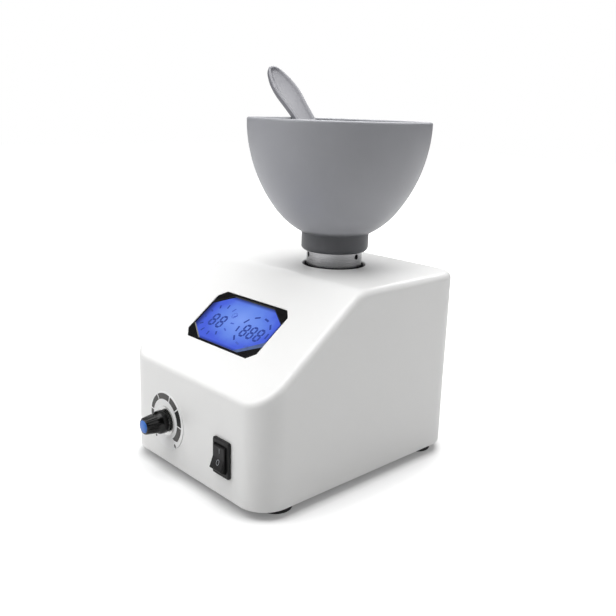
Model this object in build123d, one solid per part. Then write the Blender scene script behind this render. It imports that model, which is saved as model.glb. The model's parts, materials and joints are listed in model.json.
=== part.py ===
from build123d import *
import os
from math import acos, atan2, cos, degrees, pi, radians, sin, sqrt, tan

# Bench-top mixer for dental impression material. Millimetres, +Z up, the front faces -Y.
# The model is laid out from the middle of the housing's footprint on the bench, and is moved
# at the end so that the origin is the middle of the whole object's footprint.

# ---- Housing ------------------------------------------------------------------------------
body_width = 120.0
body_depth = 150.0
body_top = 109.4
body_bottom = 5.0        # the feet lift the housing this far off the bench
front_height = 60.4      # where the upright front meets the slope
slope_end = -9.6         # how far back the slope meets the flat top
corner_radius = 16.0     # upright corners
edge_radius = 4.0        # edge all round the top, the slope and the front bend
ridge_radius = 12.0      # bend between the slope and the top
wall = 3.0
fit_gap = 0.3            # between a part and the moulded hole that it sits in
snug = 0.02              # between two parts that are pressed or screwed together
hole_gap = 0.2           # round a screw in a clearance hole

# ---- Base plate and feet ------------------------------------------------------------------
base_bottom = 5.4
base_thickness = 2.0
foot_x = 47.4
foot_front = -54.6
foot_back = 58.1
foot_radius = 9.2
foot_recess = 2.4
base_screw_x = 34.0
base_screw_y = 65.0
boss_radius = 4.0
boss_length = 8.0

# ---- Spindle, hub and bowl ----------------------------------------------------------------
spindle_y = 29.3
collar_radius = 18.8     # hole in the top round the hub
hub_radius = 16.3
hub_bottom = 91.0
hub_top = 128.4
grub_height = 115.4      # the hub's three radial grub screws
grub_first_angle = 7.0
shaft_radius = 4.0
shaft_top = 122.0
seal_depth = 2.8
seal_radius = 24.0       # of its flange, under the top
seal_collar = 1.0        # thickness of its collar, which lines the hole in the top

rim_height = 191.3
rim_radius = 52.5
bowl_drop = 67.6         # from the rim to where the outer curve would close below the neck
bowl_floor_radius = 44.5
rim_thickness = 2.8
hollow_depth = 59.5
hollow_floor_radius = 44.0
neck_radius = 19.8
neck_bottom = 117.6
neck_edge = 3.0
socket_radius = 16.6

# ---- Spatula ------------------------------------------------------------------------------
spatula_rest = (-49.1, 43.2, 195.9)   # its middle line where it passes over the rim
spatula_heading = 172.6  # degrees from +X, as seen from above
spatula_lean = 50.7      # degrees from upright
spatula_roll = -6.5      # about its own length, so that it lies flat on the rim
spatula_above = 42.2     # from the rim to the tip
spatula_below = 90.0     # from the rim to the end of the blade
# half the handle's width at these distances from the tip
handle_side = [(2.6, 0.9), (4.5, 3.6), (6.4, 9.0), (8.1, 16.5), (8.6, 26.0), (7.6, 38.0), (6.6, 52.0)]
waist = (5.4, 66.0)
blade_width = 24.0
blade_length = 40.0
spatula_thickness = 3.3
blade_root_thickness = 2.4
blade_end_thickness = 1.2
handle_rim = 1.8         # raised rim round the dished face
dish_depth = 1.2
dish_length = 64.0

# ---- Drive --------------------------------------------------------------------------------
gear_module = 1.25
pinion_teeth = 12
gear_teeth = 48
pressure_angle = 20.0
backlash = 0.16
gear_bottom = 76.5
gear_width = 8.0
gear_boss = 5.0
gear_face_recess = 2.2
pinion_bottom = 75.6
pinion_width = 10.0
plate_bottom = 68.0
plate_thickness = 4.0
plate_width = 64.0
plate_front = -33.0
plate_back = 57.0
post_x = 26.0
post_front = -27.0
post_back = 50.0
post_radius = 4.0
motor_radius = 20.0
motor_bottom = 14.0
motor_cap_height = 5.0
motor_screw_x = 12.5
motor_terminal_x = 14.0
motor_shaft_radius = 2.5
motor_nose_radius = 6.0  # round bosses on both ends of the motor
bearing_outer = 11.0
bearing_inner = 4.0
bearing_width = 7.0
inner_race_radius = 5.9
outer_race_bore = 9.2
seal_gap = 0.2           # between a bearing's seal and its inner race
seal_recess = 0.4
bearing_edge = 0.4
lower_bearing_bottom = 42.0
upper_bearing_bottom = 66.0
housing_radius = 14.5
housing_bottom = 40.0
flange_radius = 23.0
flange_thickness = 3.0
housing_screw_radius = 18.6
housing_screw_angles = (45, 135, 225, 315)
screw_radius = 1.5       # M3 screws

# ---- Display ------------------------------------------------------------------------------
display_x = -1.4
display_slope = 40.2     # distance of its middle up the slope from the front bend
window_width = 60.4
window_height = 34.9
window_chamfer = 4.5
view_width = 58.4
view_height = 30.8
view_cut_x = 13.0
view_cut_y = 8.4
lip_thickness = 1.4      # of the bezel in front of the glass
glass_back = 4.2         # depths below the slope's outer surface
board_depth = 7.2
board_thickness = 1.6
display_board_width = 72.0
display_board_height = 46.0
display_boss_x = 33.0
display_boss_y = 20.0
display_boss_radius = 2.8
display_screw_radius = 1.0
header_x = -21.0         # plug header on the back of the display's board
header_y = -12.5
header_depth = 6.0

# ---- Speed control ------------------------------------------------------------------------
dial_x = -21.3
dial_z = 29.8
dial_radius = 16.4
dial_thickness = 0.4
bush_radius = 3.5
bush_reach = 4.8
pot_radius = 8.5
pot_depth = 10.0
pot_terminal_depth = 5.2 # behind the inside of the front wall
pot_terminal_x = 5.0
pot_shaft_radius = 3.0
washer_radius = 8.2
knob_reach = 14.4
skirt_radius = 6.5
skirt_low = 2.3
skirt_high = 6.3
grip_root_radius = 5.5   # the grip narrows from here to its tip
grip_tip_radius = 4.4
cap_radius = 3.5
cap_reach = 0.7          # beyond the end of the grip
flute_count = 18
pointer_turn = -35.0     # clockwise from upright, as seen from the front

# ---- Rocker switch ------------------------------------------------------------------------
switch_x = 30.0
switch_z = 26.8
switch_width = 13.4
switch_height = 19.8
switch_depth = 13.5
switch_body_width = 11.8 # behind the panel
switch_body_height = 18.2
bezel_height = 1.7
rocker_radius = 7.2      # from the rocker's pivot to its outer corners
rocker_corner_angle = 33.0
rocker_foot_angle = 28.0 # where its round ends stop, inside the housing
rocker_swing = 10.5      # to each side of level
rocker_width = 9.4
pivot_depth = 1.5        # behind the switch's front rim
blade_spots = (-6.0, 1.0)

# ---- Mains inlet --------------------------------------------------------------------------
inlet_z = 27.0
inlet_width = 48.0
inlet_height = 32.0
inlet_flange = 2.6
inlet_depth = 26.0
inlet_body_width = 27.8
inlet_body_height = 30.6
inlet_screw_x = 20.0
socket_y = -4.6
drawer_y = 9.6
pin_spots = [(-7.0, -1.0), (0.0, 3.0), (7.0, -1.0)]
pin_tail = 6.0

# ---- Circuit boards -----------------------------------------------------------------------
circuit_x = 44.0
circuit_y = 2.0
circuit_width = 21.0
circuit_length = 84.0
circuit_bottom = 13.4
circuit_hole_x = 8.0
circuit_hole_y = 39.0
plug_spots = (-30.0, -6.0, 31.0)     # along the control board
plug_height = 7.0
terminal_front = -36.0   # front face of the mains terminal block on its board
terminal_hole_x = 2.5
lead_radius = 0.9

# ---- Worked out from the sizes above ------------------------------------------------------
slope_angle = degrees(atan2(body_top - front_height, slope_end + body_depth / 2))
front_y = -body_depth / 2
rear_y = body_depth / 2
base_top = base_bottom + base_thickness
plate_top = plate_bottom + plate_thickness
flange_top = plate_top + flange_thickness
inside_top = body_top - wall
circuit_top = circuit_bottom + board_thickness
axis_distance = gear_module * (pinion_teeth + gear_teeth) / 2
motor_y = spindle_y - axis_distance
motor_can_bottom = motor_bottom + motor_cap_height
gear_screw_height = gear_bottom + gear_width + gear_boss / 2
display_board_back = -board_depth - board_thickness
pot_terminal_z = -wall - pot_terminal_depth
pivot_height = bezel_height - pivot_depth

spindle_axis = Pos(0, spindle_y, 0)
motor_axis = Pos(0, motor_y, 0)
slope_frame = Plane(
    origin=(
        display_x,
        front_y + display_slope * cos(radians(slope_angle)),
        front_height + display_slope * sin(radians(slope_angle)),
    ),
    x_dir=(1, 0, 0),
    z_dir=(0, -sin(radians(slope_angle)), cos(radians(slope_angle))),
)
# local x right, y up, z out of the panel, on the front and on the back
dial_frame = Plane(origin=(dial_x, front_y, dial_z), x_dir=(1, 0, 0), z_dir=(0, -1, 0))
switch_frame = Plane(origin=(switch_x, front_y, switch_z), x_dir=(1, 0, 0), z_dir=(0, -1, 0))
inlet_frame = Plane(origin=(0, rear_y, inlet_z), x_dir=(-1, 0, 0), z_dir=(0, 1, 0))

# local y runs up the spatula's handle, local z out of its dished face
lean = radians(spatula_lean)
heading = radians(spatula_heading)
spatula_axis = Vector(sin(lean) * cos(heading), sin(lean) * sin(heading), cos(lean))
spatula_face = Vector(-cos(lean) * cos(heading), -cos(lean) * sin(heading), sin(lean))
spatula_face = spatula_face.rotate(Axis((0, 0, 0), spatula_axis), spatula_roll)
spatula_frame = Plane(origin=spatula_rest, x_dir=spatula_axis.cross(spatula_face), z_dir=spatula_face)

foot_spots = {
    "front_left": (-foot_x, foot_front),
    "front_right": (foot_x, foot_front),
    "rear_left": (-foot_x, foot_back),
    "rear_right": (foot_x, foot_back),
}
base_screw_spots = [(x, y) for x in (-base_screw_x, base_screw_x) for y in (-base_screw_y, base_screw_y)]
post_spots = [(x, y) for x in (-post_x, post_x) for y in (post_front, post_back)]
display_boss_spots = [
    (x, y) for x in (-display_boss_x, display_boss_x) for y in (-display_boss_y, display_boss_y)
]
circuit_hole_spots = [
    (x, y) for x in (-circuit_hole_x, circuit_hole_x) for y in (-circuit_hole_y, circuit_hole_y)
]
spacer_spots = [
    (side * circuit_x + x, circuit_y + y) for side in (-1, 1) for x, y in circuit_hole_spots
]

pieces = {}


# ---- Small helpers ------------------------------------------------------------------------
def rod(radius, low, high, x=0.0, y=0.0):
    # upright cylinder between two heights
    upright = Cylinder(radius, high - low, align=(Align.CENTER, Align.CENTER, Align.MIN))
    return Pos(x, y, low) * upright


def block(x_low, x_high, y_low, y_high, z_low, z_high):
    size = Box(x_high - x_low, y_high - y_low, z_high - z_low)
    return Pos((x_low + x_high) / 2, (y_low + y_high) / 2, (z_low + z_high) / 2) * size


def turned(*points):
    # solid of revolution about Z from (radius, height) points
    outline = make_face(Polyline(*points, close=True))
    return revolve(Plane.XZ * outline, Axis.Z)


def slab(outline, low, high):
    # a flat outline in XY made solid between two heights
    return Pos(0, 0, low) * extrude(outline, amount=high - low)


def across(outline, width):
    # an outline in the YZ plane made solid to both sides of it
    return extrude(Plane.YZ * outline, amount=width / 2, both=True)


def polygon(*points):
    return make_face(Polyline(*points, close=True))


def group(shapes):
    # several separate solids that share one part
    return Compound([solid for shape in shapes for solid in shape.solids()])


def cut_corner_outline(width, height, cut_x, cut_y):
    # rectangle with its four corners cut off
    half_x = width / 2
    half_y = height / 2
    return polygon(
        (half_x, half_y - cut_y), (half_x - cut_x, half_y),
        (cut_x - half_x, half_y), (-half_x, half_y - cut_y),
        (-half_x, cut_y - half_y), (cut_x - half_x, -half_y),
        (half_x - cut_x, -half_y), (half_x, cut_y - half_y),
    )


def cross_recess(reach, low, high):
    blade = block(-reach, reach, -0.4, 0.4, low, high)
    return blade + Rot(Z=90) * blade


def pan_screw(length, radius=screw_radius):
    # pan head on top of z = 0, shank below it
    head_radius = radius * 1.85
    head_height = radius * 1.1
    screw = rod(radius, -length, 0) + rod(head_radius, 0, head_height)
    return screw - cross_recess(head_radius * 0.6, head_height * 0.4, head_height + 1)


def flat_screw(length):
    # countersunk screw whose flat head ends at z = 0
    screw = turned((0, -length), (screw_radius, -length), (screw_radius, -1.5), (3.0, 0), (0, 0))
    return screw - cross_recess(1.7, -0.8, 1)


def grub_screw(radius, length):
    return rod(radius, 0, length) - slab(RegularPolygon(radius * 0.55, 6), length - 2, length + 1)


def hex_nut(across_flats, thickness, hole_radius):
    outline = RegularPolygon(across_flats / 2, 6, major_radius=False) - Circle(hole_radius)
    return extrude(outline, amount=thickness)


# ---- Housing ------------------------------------------------------------------------------
def side_outline(inset):
    # the housing seen from the right, with the bend between slope and top
    low = body_bottom - 20
    outline = polygon(
        (front_y, low), (front_y, front_height), (slope_end, body_top), (rear_y, body_top), (rear_y, low)
    )
    ridge = outline.vertices().sort_by_distance((slope_end, body_top, 0))[0]
    outline = fillet(ridge, ridge_radius)
    if inset:
        outline = offset(outline, -inset, kind=Kind.INTERSECTION)
    return outline


def housing_form(inset, bottom):
    # solid that lies `inset` inside the housing's outer surface
    plan = RectangleRounded(body_width - 2 * inset, body_depth - 2 * inset, corner_radius - inset)
    form = across(side_outline(inset), body_width - 2 * inset) & slab(plan, bottom, body_top + 10)
    # every edge round the top, the slope and the front bend, but not the bend's own two lines
    top_edges = []
    for edge in form.edges():
        box = edge.bounding_box()
        runs_across = box.size.Y < 0.01 and box.size.X > corner_radius
        between_bends = front_y + inset + 1 < box.min.Y < rear_y - inset - 1
        if box.min.Z > front_height - inset - 4 and not (runs_across and between_bends):
            top_edges.append(edge)
    return fillet(top_edges, max(edge_radius - inset, 1.0))


def base_boss(x, y):
    # screw boss tied to the wall behind it by a rib
    wall_y = rear_y - wall / 2 if y > 0 else front_y + wall / 2
    top = base_top + boss_length
    rib = block(x - 1, x + 1, min(y, wall_y), max(y, wall_y), base_top, top)
    return rod(boss_radius, base_top, top, x, y) + rib


def upper_shell():
    shell = housing_form(0, body_bottom) - housing_form(wall, body_bottom - 5)
    for x, y in base_screw_spots:
        shell += base_boss(x, y)
        shell -= rod(screw_radius + snug, base_top - 1, base_top + boss_length - 1, x, y)
    for x, y in display_boss_spots:
        shell += slope_frame * rod(display_boss_radius, -board_depth, -wall / 2, x, y)
        shell -= slope_frame * rod(display_screw_radius + snug, -board_depth - 1, -wall, x, y)
    window = cut_corner_outline(window_width, window_height, window_chamfer, window_chamfer)
    shell -= slope_frame * slab(window, -wall - 1, 1)
    shell -= spindle_axis * rod(collar_radius, inside_top - 1, body_top + 1)
    shell -= dial_frame * rod(bush_radius + hole_gap, -wall - 1, 1)
    switch_hole = Rectangle(switch_body_width + fit_gap, switch_body_height + 0.4)
    shell -= switch_frame * slab(switch_hole, -wall - 1, 1)
    inlet_hole = Rectangle(inlet_body_width + 0.4, inlet_body_height + 0.4)
    shell -= inlet_frame * slab(inlet_hole, -wall - 1, 1)
    for x in (-inlet_screw_x, inlet_screw_x):
        shell -= inlet_frame * rod(screw_radius + hole_gap, -wall - 1, 1, x, 0)
    return shell


# ---- Base plate and feet ------------------------------------------------------------------
def base_plate():
    gap = wall + fit_gap
    outline = RectangleRounded(body_width - 2 * gap, body_depth - 2 * gap, corner_radius - gap)
    for x, y in base_screw_spots + list(foot_spots.values()) + post_spots + spacer_spots:
        outline -= Pos(x, y) * Circle(screw_radius + hole_gap)
    # two rows of air slots under the motor
    for row_y in (-26.0, 10.0):
        for step in range(6):
            outline -= Pos((step - 2.5) * 6.5, row_y) * SlotOverall(24, 3, rotation=90)
    return slab(outline, base_bottom, base_top)


def rubber_foot():
    # tapered foot with a recess for its screw
    hole = screw_radius + hole_gap
    return turned(
        (hole, foot_recess), (3.6, foot_recess), (3.6, 0), (foot_radius - 0.8, 0),
        (foot_radius - 0.3, 0.6), (foot_radius, base_bottom), (hole, base_bottom),
    )


def build_base():
    pieces["upper_shell"] = upper_shell()
    pieces["base_plate"] = base_plate()
    for place, (x, y) in foot_spots.items():
        pieces["rubber_foot_" + place] = Pos(x, y, 0) * rubber_foot()
    foot_screw = Rot(X=180) * pan_screw(8.4)
    pieces["foot_screws"] = group(Pos(x, y, foot_recess) * foot_screw for x, y in foot_spots.values())
    base_screw = Rot(X=180) * pan_screw(8.0)
    pieces["base_screws"] = group(Pos(x, y, base_bottom) * base_screw for x, y in base_screw_spots)


# ---- Gears --------------------------------------------------------------------------------
def gear_outline(teeth, addendum):
    # involute teeth, one of them along +X; each flank is an arc through three involute points
    pitch = gear_module * teeth / 2
    base = pitch * cos(radians(pressure_angle))
    tip = pitch + addendum
    root = pitch - 1.25 * gear_module
    pressure = radians(pressure_angle)
    half_tooth = pi / 2 / teeth - backlash / pitch / 2 + tan(pressure) - pressure
    start = max(base, root + 0.15)
    middle = (start + tip) / 2

    def at(radius, angle):
        return (radius * cos(angle), radius * sin(angle))

    def flank(radius, side, turn):
        pressure_here = acos(min(1.0, base / radius))
        return at(radius, turn + side * (half_tooth - tan(pressure_here) + pressure_here))

    edges = []
    for tooth in range(teeth):
        turn = 2 * pi * tooth / teeth
        next_turn = 2 * pi * (tooth + 1) / teeth
        foot_in = at(root, turn - half_tooth)
        foot_out = at(root, turn + half_tooth)
        next_foot = at(root, next_turn - half_tooth)
        edges += [
            Line(foot_in, flank(start, -1, turn)),
            ThreePointArc(flank(start, -1, turn), flank(middle, -1, turn), flank(tip, -1, turn)),
            Line(flank(tip, -1, turn), flank(tip, 1, turn)),
            ThreePointArc(flank(tip, 1, turn), flank(middle, 1, turn), flank(start, 1, turn)),
            Line(flank(start, 1, turn), foot_out),
            Line(foot_out, next_foot),
        ]
    return make_face(Wire(edges))


def drive_gear():
    # the tip is cut a little short, because the pinion has only twelve teeth
    gear = extrude(gear_outline(gear_teeth, 0.72 * gear_module), amount=gear_width)
    face_ring = slab(Circle(26.0) - Circle(12.0), 0, gear_face_recess)
    gear -= face_ring
    gear -= Pos(0, 0, gear_width - gear_face_recess) * face_ring
    gear += rod(9.0, gear_width, gear_width + gear_boss)
    gear -= rod(shaft_radius, -1, gear_width + gear_boss + 1)
    for step in range(6):
        gear -= Rot(Z=step * 60 + 30) * rod(4.0, -1, gear_width + 1, 19, 0)
    gear = Pos(0, 0, gear_bottom) * gear
    return gear - Pos(0, 0, gear_screw_height) * Rot(Y=90) * rod(screw_radius + snug, 0, 12)


def motor_pinion():
    pinion = extrude(gear_outline(pinion_teeth, 0.9 * gear_module), amount=pinion_width)
    pinion -= rod(motor_shaft_radius + snug, -1, pinion_width + 1)
    # a gap between two teeth faces the drive gear, whose tooth lies on the line of centres
    half_pitch = 180.0 / pinion_teeth
    return Pos(0, 0, pinion_bottom) * Rot(Z=90 + half_pitch) * pinion


# ---- Bearings and their housing -----------------------------------------------------------
def bearing():
    # outer race, closed on both sides by a seal that hides the balls
    seal_edge = inner_race_radius + seal_gap
    seal_high = bearing_width - seal_recess
    return turned(
        (seal_edge, seal_recess), (outer_race_bore, seal_recess), (outer_race_bore, 0),
        (bearing_outer - bearing_edge, 0), (bearing_outer, bearing_edge),
        (bearing_outer, bearing_width - bearing_edge), (bearing_outer - bearing_edge, bearing_width),
        (outer_race_bore, bearing_width), (outer_race_bore, seal_high), (seal_edge, seal_high),
    )


def bearing_inner_race():
    return turned(
        (bearing_inner, bearing_edge), (bearing_inner + bearing_edge, 0), (inner_race_radius, 0),
        (inner_race_radius, bearing_width), (bearing_inner + bearing_edge, bearing_width),
        (bearing_inner, bearing_width - bearing_edge),
    )


def bearing_housing():
    # flanged sleeve with a seat for a bearing at each end
    seat = bearing_outer + snug
    seat_top = lower_bearing_bottom + bearing_width
    housing = turned(
        (seat, housing_bottom), (housing_radius, housing_bottom), (housing_radius, plate_top),
        (flange_radius, plate_top), (flange_radius, flange_top), (seat, flange_top),
        (seat, upper_bearing_bottom), (9.3, upper_bearing_bottom), (9.3, seat_top), (seat, seat_top),
    )
    countersink = turned(
        (0, flange_top - 1.6), (screw_radius + hole_gap, flange_top - 1.6),
        (3.2, flange_top + 0.01), (0, flange_top + 0.01),
    )
    for angle in housing_screw_angles:
        spot = Rot(Z=angle) * Pos(housing_screw_radius, 0, 0)
        housing -= spot * rod(screw_radius + hole_gap, plate_top - 1, flange_top + 1)
        housing -= spot * countersink
    return housing


def bearing_plate():
    outline = RectangleRounded(plate_width, plate_back - plate_front, 5)
    plate = Pos(0, (plate_front + plate_back) / 2) * outline
    plate -= Pos(0, spindle_y) * Circle(housing_radius + 0.05)
    plate -= Pos(0, motor_y) * Circle(motor_nose_radius + hole_gap)
    for x, y in post_spots:
        plate -= Pos(x, y) * Circle(screw_radius + hole_gap)
    for x in (-motor_screw_x, motor_screw_x):
        plate -= Pos(x, motor_y) * Circle(screw_radius + hole_gap)
    for angle in housing_screw_angles:
        spot = Pos(0, spindle_y) * Rot(Z=angle) * Pos(housing_screw_radius, 0)
        plate -= spot * Circle(screw_radius + snug)
    return slab(plate, plate_bottom, plate_top)


def spindle_shaft():
    # turned from bar: a clip groove below, a collar under the gear
    radius = shaft_radius - snug
    groove = radius - 0.5
    groove_low = lower_bearing_bottom - 1.1
    low = lower_bearing_bottom - 4
    collar_low = upper_bearing_bottom + bearing_width
    return turned(
        (0, low), (radius - 0.6, low), (radius, low + 0.6), (radius, groove_low), (groove, groove_low),
        (groove, lower_bearing_bottom), (radius, lower_bearing_bottom), (radius, collar_low),
        (5.8, collar_low), (5.8, gear_bottom), (radius, gear_bottom), (radius, shaft_top - 0.6),
        (radius - 0.6, shaft_top), (0, shaft_top),
    )


def shaft_circlip():
    ring = Circle(6.2) - Circle(shaft_radius - 0.5) - Pos(0, -5) * Rectangle(3.0, 8)
    return slab(ring, lower_bearing_bottom - 1.05, lower_bearing_bottom - 0.05)


def motor_can():
    can = rod(motor_radius, motor_can_bottom, plate_bottom)
    can += rod(motor_nose_radius, plate_bottom, plate_top - 1)
    can -= rod(motor_shaft_radius + 0.05, plate_bottom - 12, plate_top)
    for x in (-motor_screw_x, motor_screw_x):
        can -= rod(screw_radius + snug, plate_bottom - 6, plate_bottom + 1, x, 0)
    # a rolled groove where the can is crimped over its cap
    groove = Circle(motor_radius + 1) - Circle(motor_radius - 0.6)
    return can - slab(groove, motor_can_bottom + 3, motor_can_bottom + 4.2)


def motor_end_cap():
    # moulded cap with the motor's two terminals in it
    cap = rod(motor_radius - 0.6, motor_bottom + 1, motor_can_bottom)
    cap += rod(motor_nose_radius, motor_bottom, motor_bottom + 1)
    for x in (-motor_terminal_x, motor_terminal_x):
        cap += block(x - 1.5, x + 1.5, -0.4, 0.4, motor_bottom - 3, motor_bottom + 2)
    return cap


def build_drive():
    pieces["bearing_plate"] = bearing_plate()
    post = rod(post_radius, base_top, plate_bottom)
    post -= rod(screw_radius + snug, base_top - 1, base_top + 9)
    post -= rod(screw_radius + snug, plate_bottom - 9, plate_bottom + 1)
    pieces["plate_posts"] = group(Pos(x, y, 0) * post for x, y in post_spots)
    pieces["bearing_housing"] = spindle_axis * bearing_housing()
    for place, bottom in (("upper", upper_bearing_bottom), ("lower", lower_bearing_bottom)):
        spot = spindle_axis * Pos(0, 0, bottom)
        pieces[place + "_bearing"] = spot * bearing()
        pieces[place + "_bearing_inner_race"] = spot * bearing_inner_race()
    pieces["spindle_shaft"] = spindle_axis * spindle_shaft()
    pieces["shaft_circlip"] = spindle_axis * shaft_circlip()
    sleeve = Circle(5.8) - Circle(shaft_radius)
    sleeve = slab(sleeve, lower_bearing_bottom + bearing_width, upper_bearing_bottom)
    pieces["bearing_spacer"] = spindle_axis * sleeve
    # one tooth of the drive gear points along -Y, at the pinion
    pieces["drive_gear"] = spindle_axis * Rot(Z=-90) * drive_gear()
    pieces["motor_can"] = motor_axis * motor_can()
    pieces["motor_end_cap"] = motor_axis * motor_end_cap()
    shaft_high = pinion_bottom + pinion_width + 0.6
    pieces["motor_shaft"] = motor_axis * rod(motor_shaft_radius, plate_bottom - 11, shaft_high)
    pieces["motor_pinion"] = motor_axis * motor_pinion()

    upper_screw = pan_screw(8.0)
    lower_screw = Rot(X=180) * upper_screw
    pieces["machine_screws"] = group(
        [Pos(x, y, base_bottom) * lower_screw for x, y in post_spots]
        + [Pos(x, y, plate_top) * upper_screw for x, y in post_spots]
        + [Pos(x, motor_y, plate_top) * upper_screw for x in (-motor_screw_x, motor_screw_x)]
        + [Pos(x, y, circuit_top) * upper_screw for x, y in spacer_spots]
    )
    pieces["countersunk_screws"] = group(
        [
            spindle_axis * Rot(Z=angle) * Pos(housing_screw_radius, 0, flange_top) * flat_screw(6.5)
            for angle in housing_screw_angles
        ]
        + [inlet_frame * Pos(x, 0, inlet_flange) * flat_screw(8.0) for x in (-inlet_screw_x, inlet_screw_x)]
    )
    nut = hex_nut(5.5, 2.4, screw_radius + snug)
    pieces["lock_nuts"] = group(
        [Pos(x, y, base_top) * nut for x, y in foot_spots.values()]
        + [inlet_frame * Pos(x, 0, -wall - 2.4) * nut for x in (-inlet_screw_x, inlet_screw_x)]
    )


# ---- Hub, seal and bowl -------------------------------------------------------------------
def grub_line(step):
    # local z runs out of the hub along one of its three grub screws
    return Pos(0, 0, grub_height) * Rot(Z=grub_first_angle + 120 * step) * Rot(Y=90)


def spindle_hub():
    hub = turned(
        (0, hub_bottom), (hub_radius - 0.6, hub_bottom), (hub_radius, hub_bottom + 0.6),
        (hub_radius, hub_top - 1.0), (hub_radius - 1.0, hub_top), (0, hub_top),
    )
    hub -= rod(shaft_radius, hub_bottom - 1, shaft_top + 0.5)
    hub -= slab(Circle(12.5) - Circle(8.0), hub_top - 4, hub_top + 1)
    for step in range(3):
        hub -= grub_line(step) * rod(screw_radius + snug, 0, hub_radius + 1)
    return hub


def oval_arcs(half_width, drop, floor_radius, end_radius):
    # rim-to-floor curve of one wall: a wide side arc that runs smoothly into a floor arc
    floor_centre = rim_height - drop + floor_radius
    rise = drop - floor_radius
    side_radius = (half_width**2 + rise**2 - floor_radius**2) / (2 * (half_width - floor_radius))
    join = atan2(rise, side_radius - half_width)
    end = atan2(sqrt(floor_radius**2 - end_radius**2), end_radius)

    def side(angle):
        return (half_width - side_radius + side_radius * cos(angle), rim_height - side_radius * sin(angle))

    def floor(angle):
        return (floor_radius * cos(angle), floor_centre - floor_radius * sin(angle))

    return [
        ThreePointArc((half_width, rim_height), side(join / 2), floor(join)),
        ThreePointArc(floor(join), floor((join + end) / 2), floor(end)),
    ]


def mixing_bowl():
    # one wall, thin at the rim and thick over the socket in its neck
    inner_radius = rim_radius - rim_thickness
    outer = oval_arcs(rim_radius, bowl_drop, bowl_floor_radius, neck_radius)
    inner = oval_arcs(inner_radius, hollow_depth, hollow_floor_radius, 0.0)
    neck_top = (outer[1] @ 1).Y
    rim_middle = ((inner_radius + rim_radius) / 2, rim_height + 0.4 * rim_thickness)
    rim = ThreePointArc((inner_radius, rim_height), rim_middle, (rim_radius, rim_height))
    edge_centre = (neck_radius - neck_edge, neck_bottom + neck_edge)
    edge_middle = (edge_centre[0] + neck_edge * sin(pi / 4), edge_centre[1] - neck_edge * cos(pi / 4))
    neck = [
        Line((neck_radius, neck_top), (neck_radius, edge_centre[1])),
        ThreePointArc((neck_radius, edge_centre[1]), edge_middle, (edge_centre[0], neck_bottom)),
        Line((edge_centre[0], neck_bottom), (socket_radius, neck_bottom)),
        Line((socket_radius, neck_bottom), (socket_radius, hub_top)),
        Line((socket_radius, hub_top), (0, hub_top)),
        Line((0, hub_top), (0, rim_height - hollow_depth)),
    ]
    outline = make_face(Wire([rim] + outer + neck + inner))
    return revolve(Plane.XZ * outline, Axis.Z)


def splash_seal():
    # rubber ring under the top: its collar lines the hole and its lip slopes down to the hub
    low = inside_top - seal_depth
    outside = collar_radius - snug
    collar_top = body_top - 0.5
    return turned(
        (hub_radius + 0.5, low), (seal_radius, low), (seal_radius, inside_top), (outside, inside_top),
        (outside, collar_top), (outside - seal_collar, collar_top), (outside - seal_collar, low + 1.6),
        (hub_radius + 0.5, low + 0.9),
    )


def build_spindle_top():
    pieces["spindle_hub"] = spindle_axis * spindle_hub()
    hub_screw = Pos(0, 0, shaft_radius) * grub_screw(screw_radius, 8.0)
    gear_screw = Pos(0, 0, shaft_radius) * grub_screw(screw_radius, 4.5)
    pieces["grub_screws"] = group(
        [spindle_axis * grub_line(step) * hub_screw for step in range(3)]
        + [spindle_axis * Rot(Z=-90) * Pos(0, 0, gear_screw_height) * Rot(Y=90) * gear_screw]
    )
    pieces["splash_seal"] = spindle_axis * splash_seal()
    pieces["mixing_bowl"] = spindle_axis * mixing_bowl()


# ---- Spatula ------------------------------------------------------------------------------
def handle_edge(inset, last):
    # right-hand edge of the handle from its tip down, `inset` inside its outline
    spots = [(0, spatula_above - inset)]
    for half_width, from_tip in handle_side:
        drop = max(0.0, 6.0 - from_tip) / 6.0 * inset
        spots.append((half_width - inset + 0.3 * drop, spatula_above - from_tip - drop))
    spots.append((last[0] - inset, spatula_above - last[1]))
    arcs = [ThreePointArc(spots[step], spots[step + 1], spots[step + 2]) for step in (0, 2, 4)]
    return arcs + [Line(spots[6], spots[7]), Line(spots[7], spots[8])]


def spatula_outline():
    # handle, waist and a round-ended blade; y runs to the tip
    half_blade = blade_width / 2
    end = -spatula_below
    shoulder = end + blade_length - 6
    handle = handle_edge(0, waist)
    side = handle + [
        Spline(handle[-1] @ 1, (half_blade, shoulder), tangents=[(-0.07, -1), (0, -1)]),
        Line((half_blade, shoulder), (half_blade, end + 12)),
        ThreePointArc((half_blade, end + 12), (half_blade - 3.4, end + 3.6), (half_blade - 10, end)),
    ]
    other = [edge.mirror(Plane.YZ) for edge in side]
    end_line = Line((half_blade - 10, end), (10 - half_blade, end))
    return make_face(Wire(side + other + [end_line]))


def spatula_dish():
    # hollow of the handle's upper face
    side = handle_edge(handle_rim, (waist[0], dish_length))
    other = [edge.mirror(Plane.YZ) for edge in side]
    low = side[-1] @ 1
    low_arc = ThreePointArc((low.X, low.Y), (0, low.Y - 4), (-low.X, low.Y))
    return make_face(Wire(side + other + [low_arc]))


def spatula():
    half = spatula_thickness / 2
    body = slab(spatula_outline(), -half, half)
    # the blade is planed thin on its underside
    end = -spatula_below
    shoulder = end + blade_length
    under = polygon(
        (end - 1, -half - 1), (end - 1, half - blade_end_thickness),
        (shoulder, half - blade_root_thickness), (shoulder + 22, -half), (shoulder + 22, -half - 1),
    )
    body -= across(under, blade_width + 2)
    body -= slab(spatula_dish(), half - dish_depth, half + 1)
    return spatula_frame * body


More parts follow.
